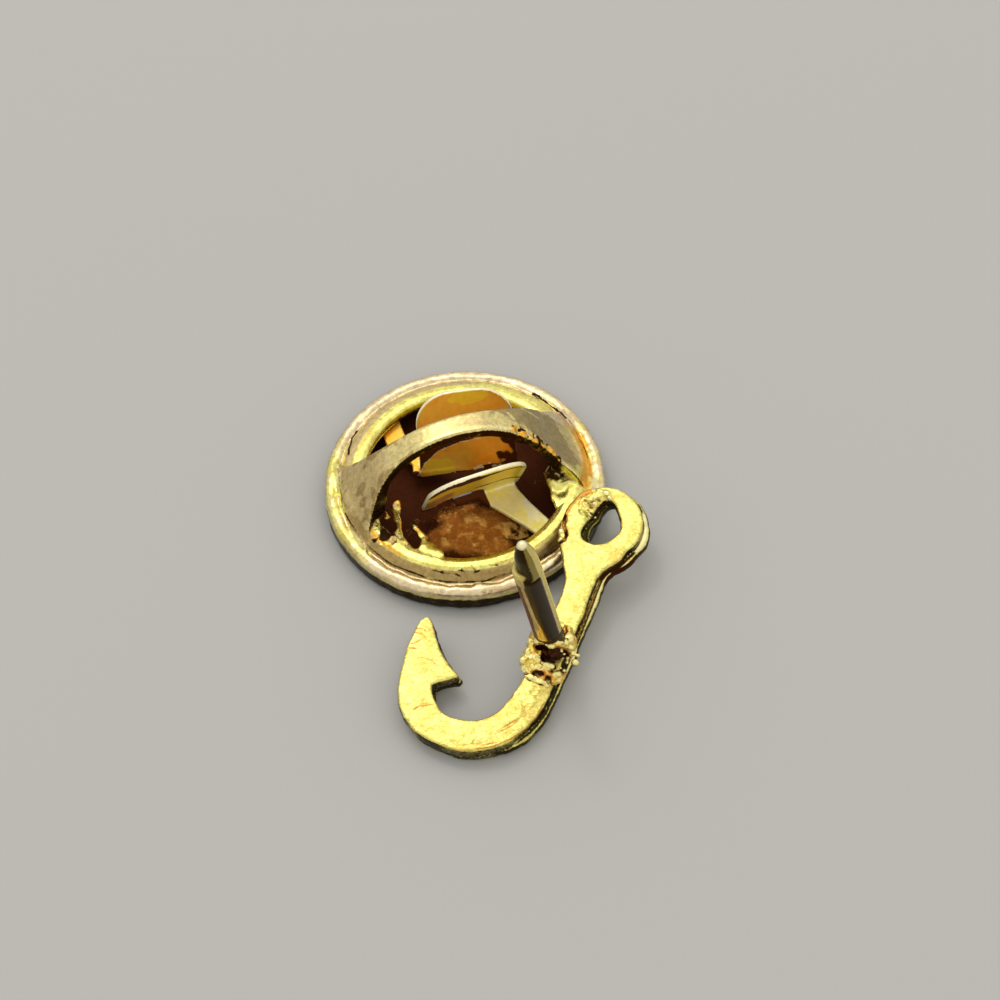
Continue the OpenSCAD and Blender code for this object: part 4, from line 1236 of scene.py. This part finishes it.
def build_camera():
    """The photograph's view through a long lens."""
    roll = math.radians(VIEW_ROLL)
    pixels = PIXELS_PER_MM * VIEW_DISTANCE
    right = Vector((1, 0, 0))
    up = right.cross(SIGHT)
    side = right * math.cos(roll) - up * math.sin(roll)
    top = up * math.cos(roll) + right * math.sin(roll)
    aside, below = ((pixel - PICTURE_SIDE / 2) / pixels for pixel in CLUTCH_PIXEL)
    aim = Vector(CLUTCH_AT) + Vector((0, 0, CLUTCH_MIDDLE_H))
    spot = (aim - (SIGHT + side * aside - top * below) * VIEW_DISTANCE) * MM
    lens = bpy.data.cameras.new("photo_view")
    lens.sensor_width = 36
    lens.lens = pixels / PICTURE_SIDE * lens.sensor_width
    lens.clip_start, lens.clip_end = 0.005, 5
    camera = bpy.data.objects.new("photo_view", lens)
    bpy.context.scene.collection.objects.link(camera)
    camera.matrix_world = Matrix.Translation(spot) @ Matrix((side, top, -SIGHT)).transposed().to_4x4()
    bpy.context.scene.camera = camera


def build_floor():
    """A wide sheet of pale paper."""
    mesh = bpy.data.meshes.new("floor")
    reach = 0.6
    corners = [(-reach, -reach, 0), (reach, -reach, 0), (reach, reach, 0), (-reach, reach, 0)]
    mesh.from_pydata(corners, [], [(0, 1, 2, 3)])
    floor = bpy.data.objects.new("floor", mesh)
    bpy.context.scene.collection.objects.link(floor)
    paper = bpy.data.materials.new("pale_paper")
    paper.use_nodes = True
    paint = paper.node_tree.nodes["Principled BSDF"]
    paint.inputs["Base Color"].default_value = colour("#b4b3af")
    paint.inputs["Roughness"].default_value = 0.9
    mesh.materials.append(paper)


def build_light():
    """A wide soft light overhead and behind, a small one for the shadows, and a pale room all round."""
    # each light: name, place in m, width and depth in m, brightness of its face, and colour
    lights = [
        ("overhead_softbox", (-0.03, 0.13, 0.26), 0.26, 0.2, 0.9, "#fffdf6"),
        ("shadow_lamp", (-0.1, 0.16, 0.36), 0.05, 0.05, 12, "#fffaf0"),
    ]
    for name, spot, width, depth, face, tint in lights:
        lamp = bpy.data.lights.new(name, "AREA")
        lamp.shape = "RECTANGLE"
        lamp.size, lamp.size_y = width, depth
        lamp.energy = face * math.pi * width * depth
        lamp.color = colour(tint)[:3]
        light = bpy.data.objects.new(name, lamp)
        light.location = spot
        light.rotation_euler = (-Vector(spot)).to_track_quat("-Z", "Y").to_euler()
        bpy.context.scene.collection.objects.link(light)
    world = bpy.data.worlds.new("studio")
    bpy.context.scene.world = world
    world.use_nodes = True
    tree = world.node_tree
    tree.nodes.clear()
    way = put(tree, "TexCoord", out="Generated")
    upwards = put(tree, "SeparateXYZ", {0: way}, out="Z")
    backwards = put(tree, "SeparateXYZ", {0: way}, out="Y")
    height = put(tree, "MapRange", {"Value": upwards, "From Max": 0.9, "To Min": 0.85})
    behind = put(tree, "MapRange", {"Value": backwards, "From Min": -0.7, "From Max": 0.5, "To Min": 0.95})
    glow = put(tree, "Math", {0: height, 1: behind}, operation="MULTIPLY")
    air = put(tree, "Background", {"Color": colour("#fbfaf7"), "Strength": glow})
    put(tree, "OutputWorld", {"Surface": air})
    bpy.context.scene.view_settings.view_transform = "Standard"


build_camera()
build_floor()
build_light()
build_hook()
build_solder()
build_post()
build_cap()
build_base()
build_wing("wing_far_strip", "wing_far", "far_wing", turned_by=5.8, half_w=2.0, shift=0.28, knee_y=0.72,
           lean=20, heel=0.33, leg_ways=FAR_LEG, inner_ways=(0, 0.7, 0.9), notch=None, seed=81,
           find_marks=far_wing_marks)
build_wing("wing_near_strip", "wing_near", "near_wing", turned_by=198.8, half_w=2.12, shift=0.02, knee_y=0.64,
           lean=25.5, heel=0.3, leg_ways=NEAR_LEG, inner_ways=(0.05, 0.68, 1.0), notch=(0.45, 1.1, 1.1),
           seed=91, find_marks=near_wing_marks)
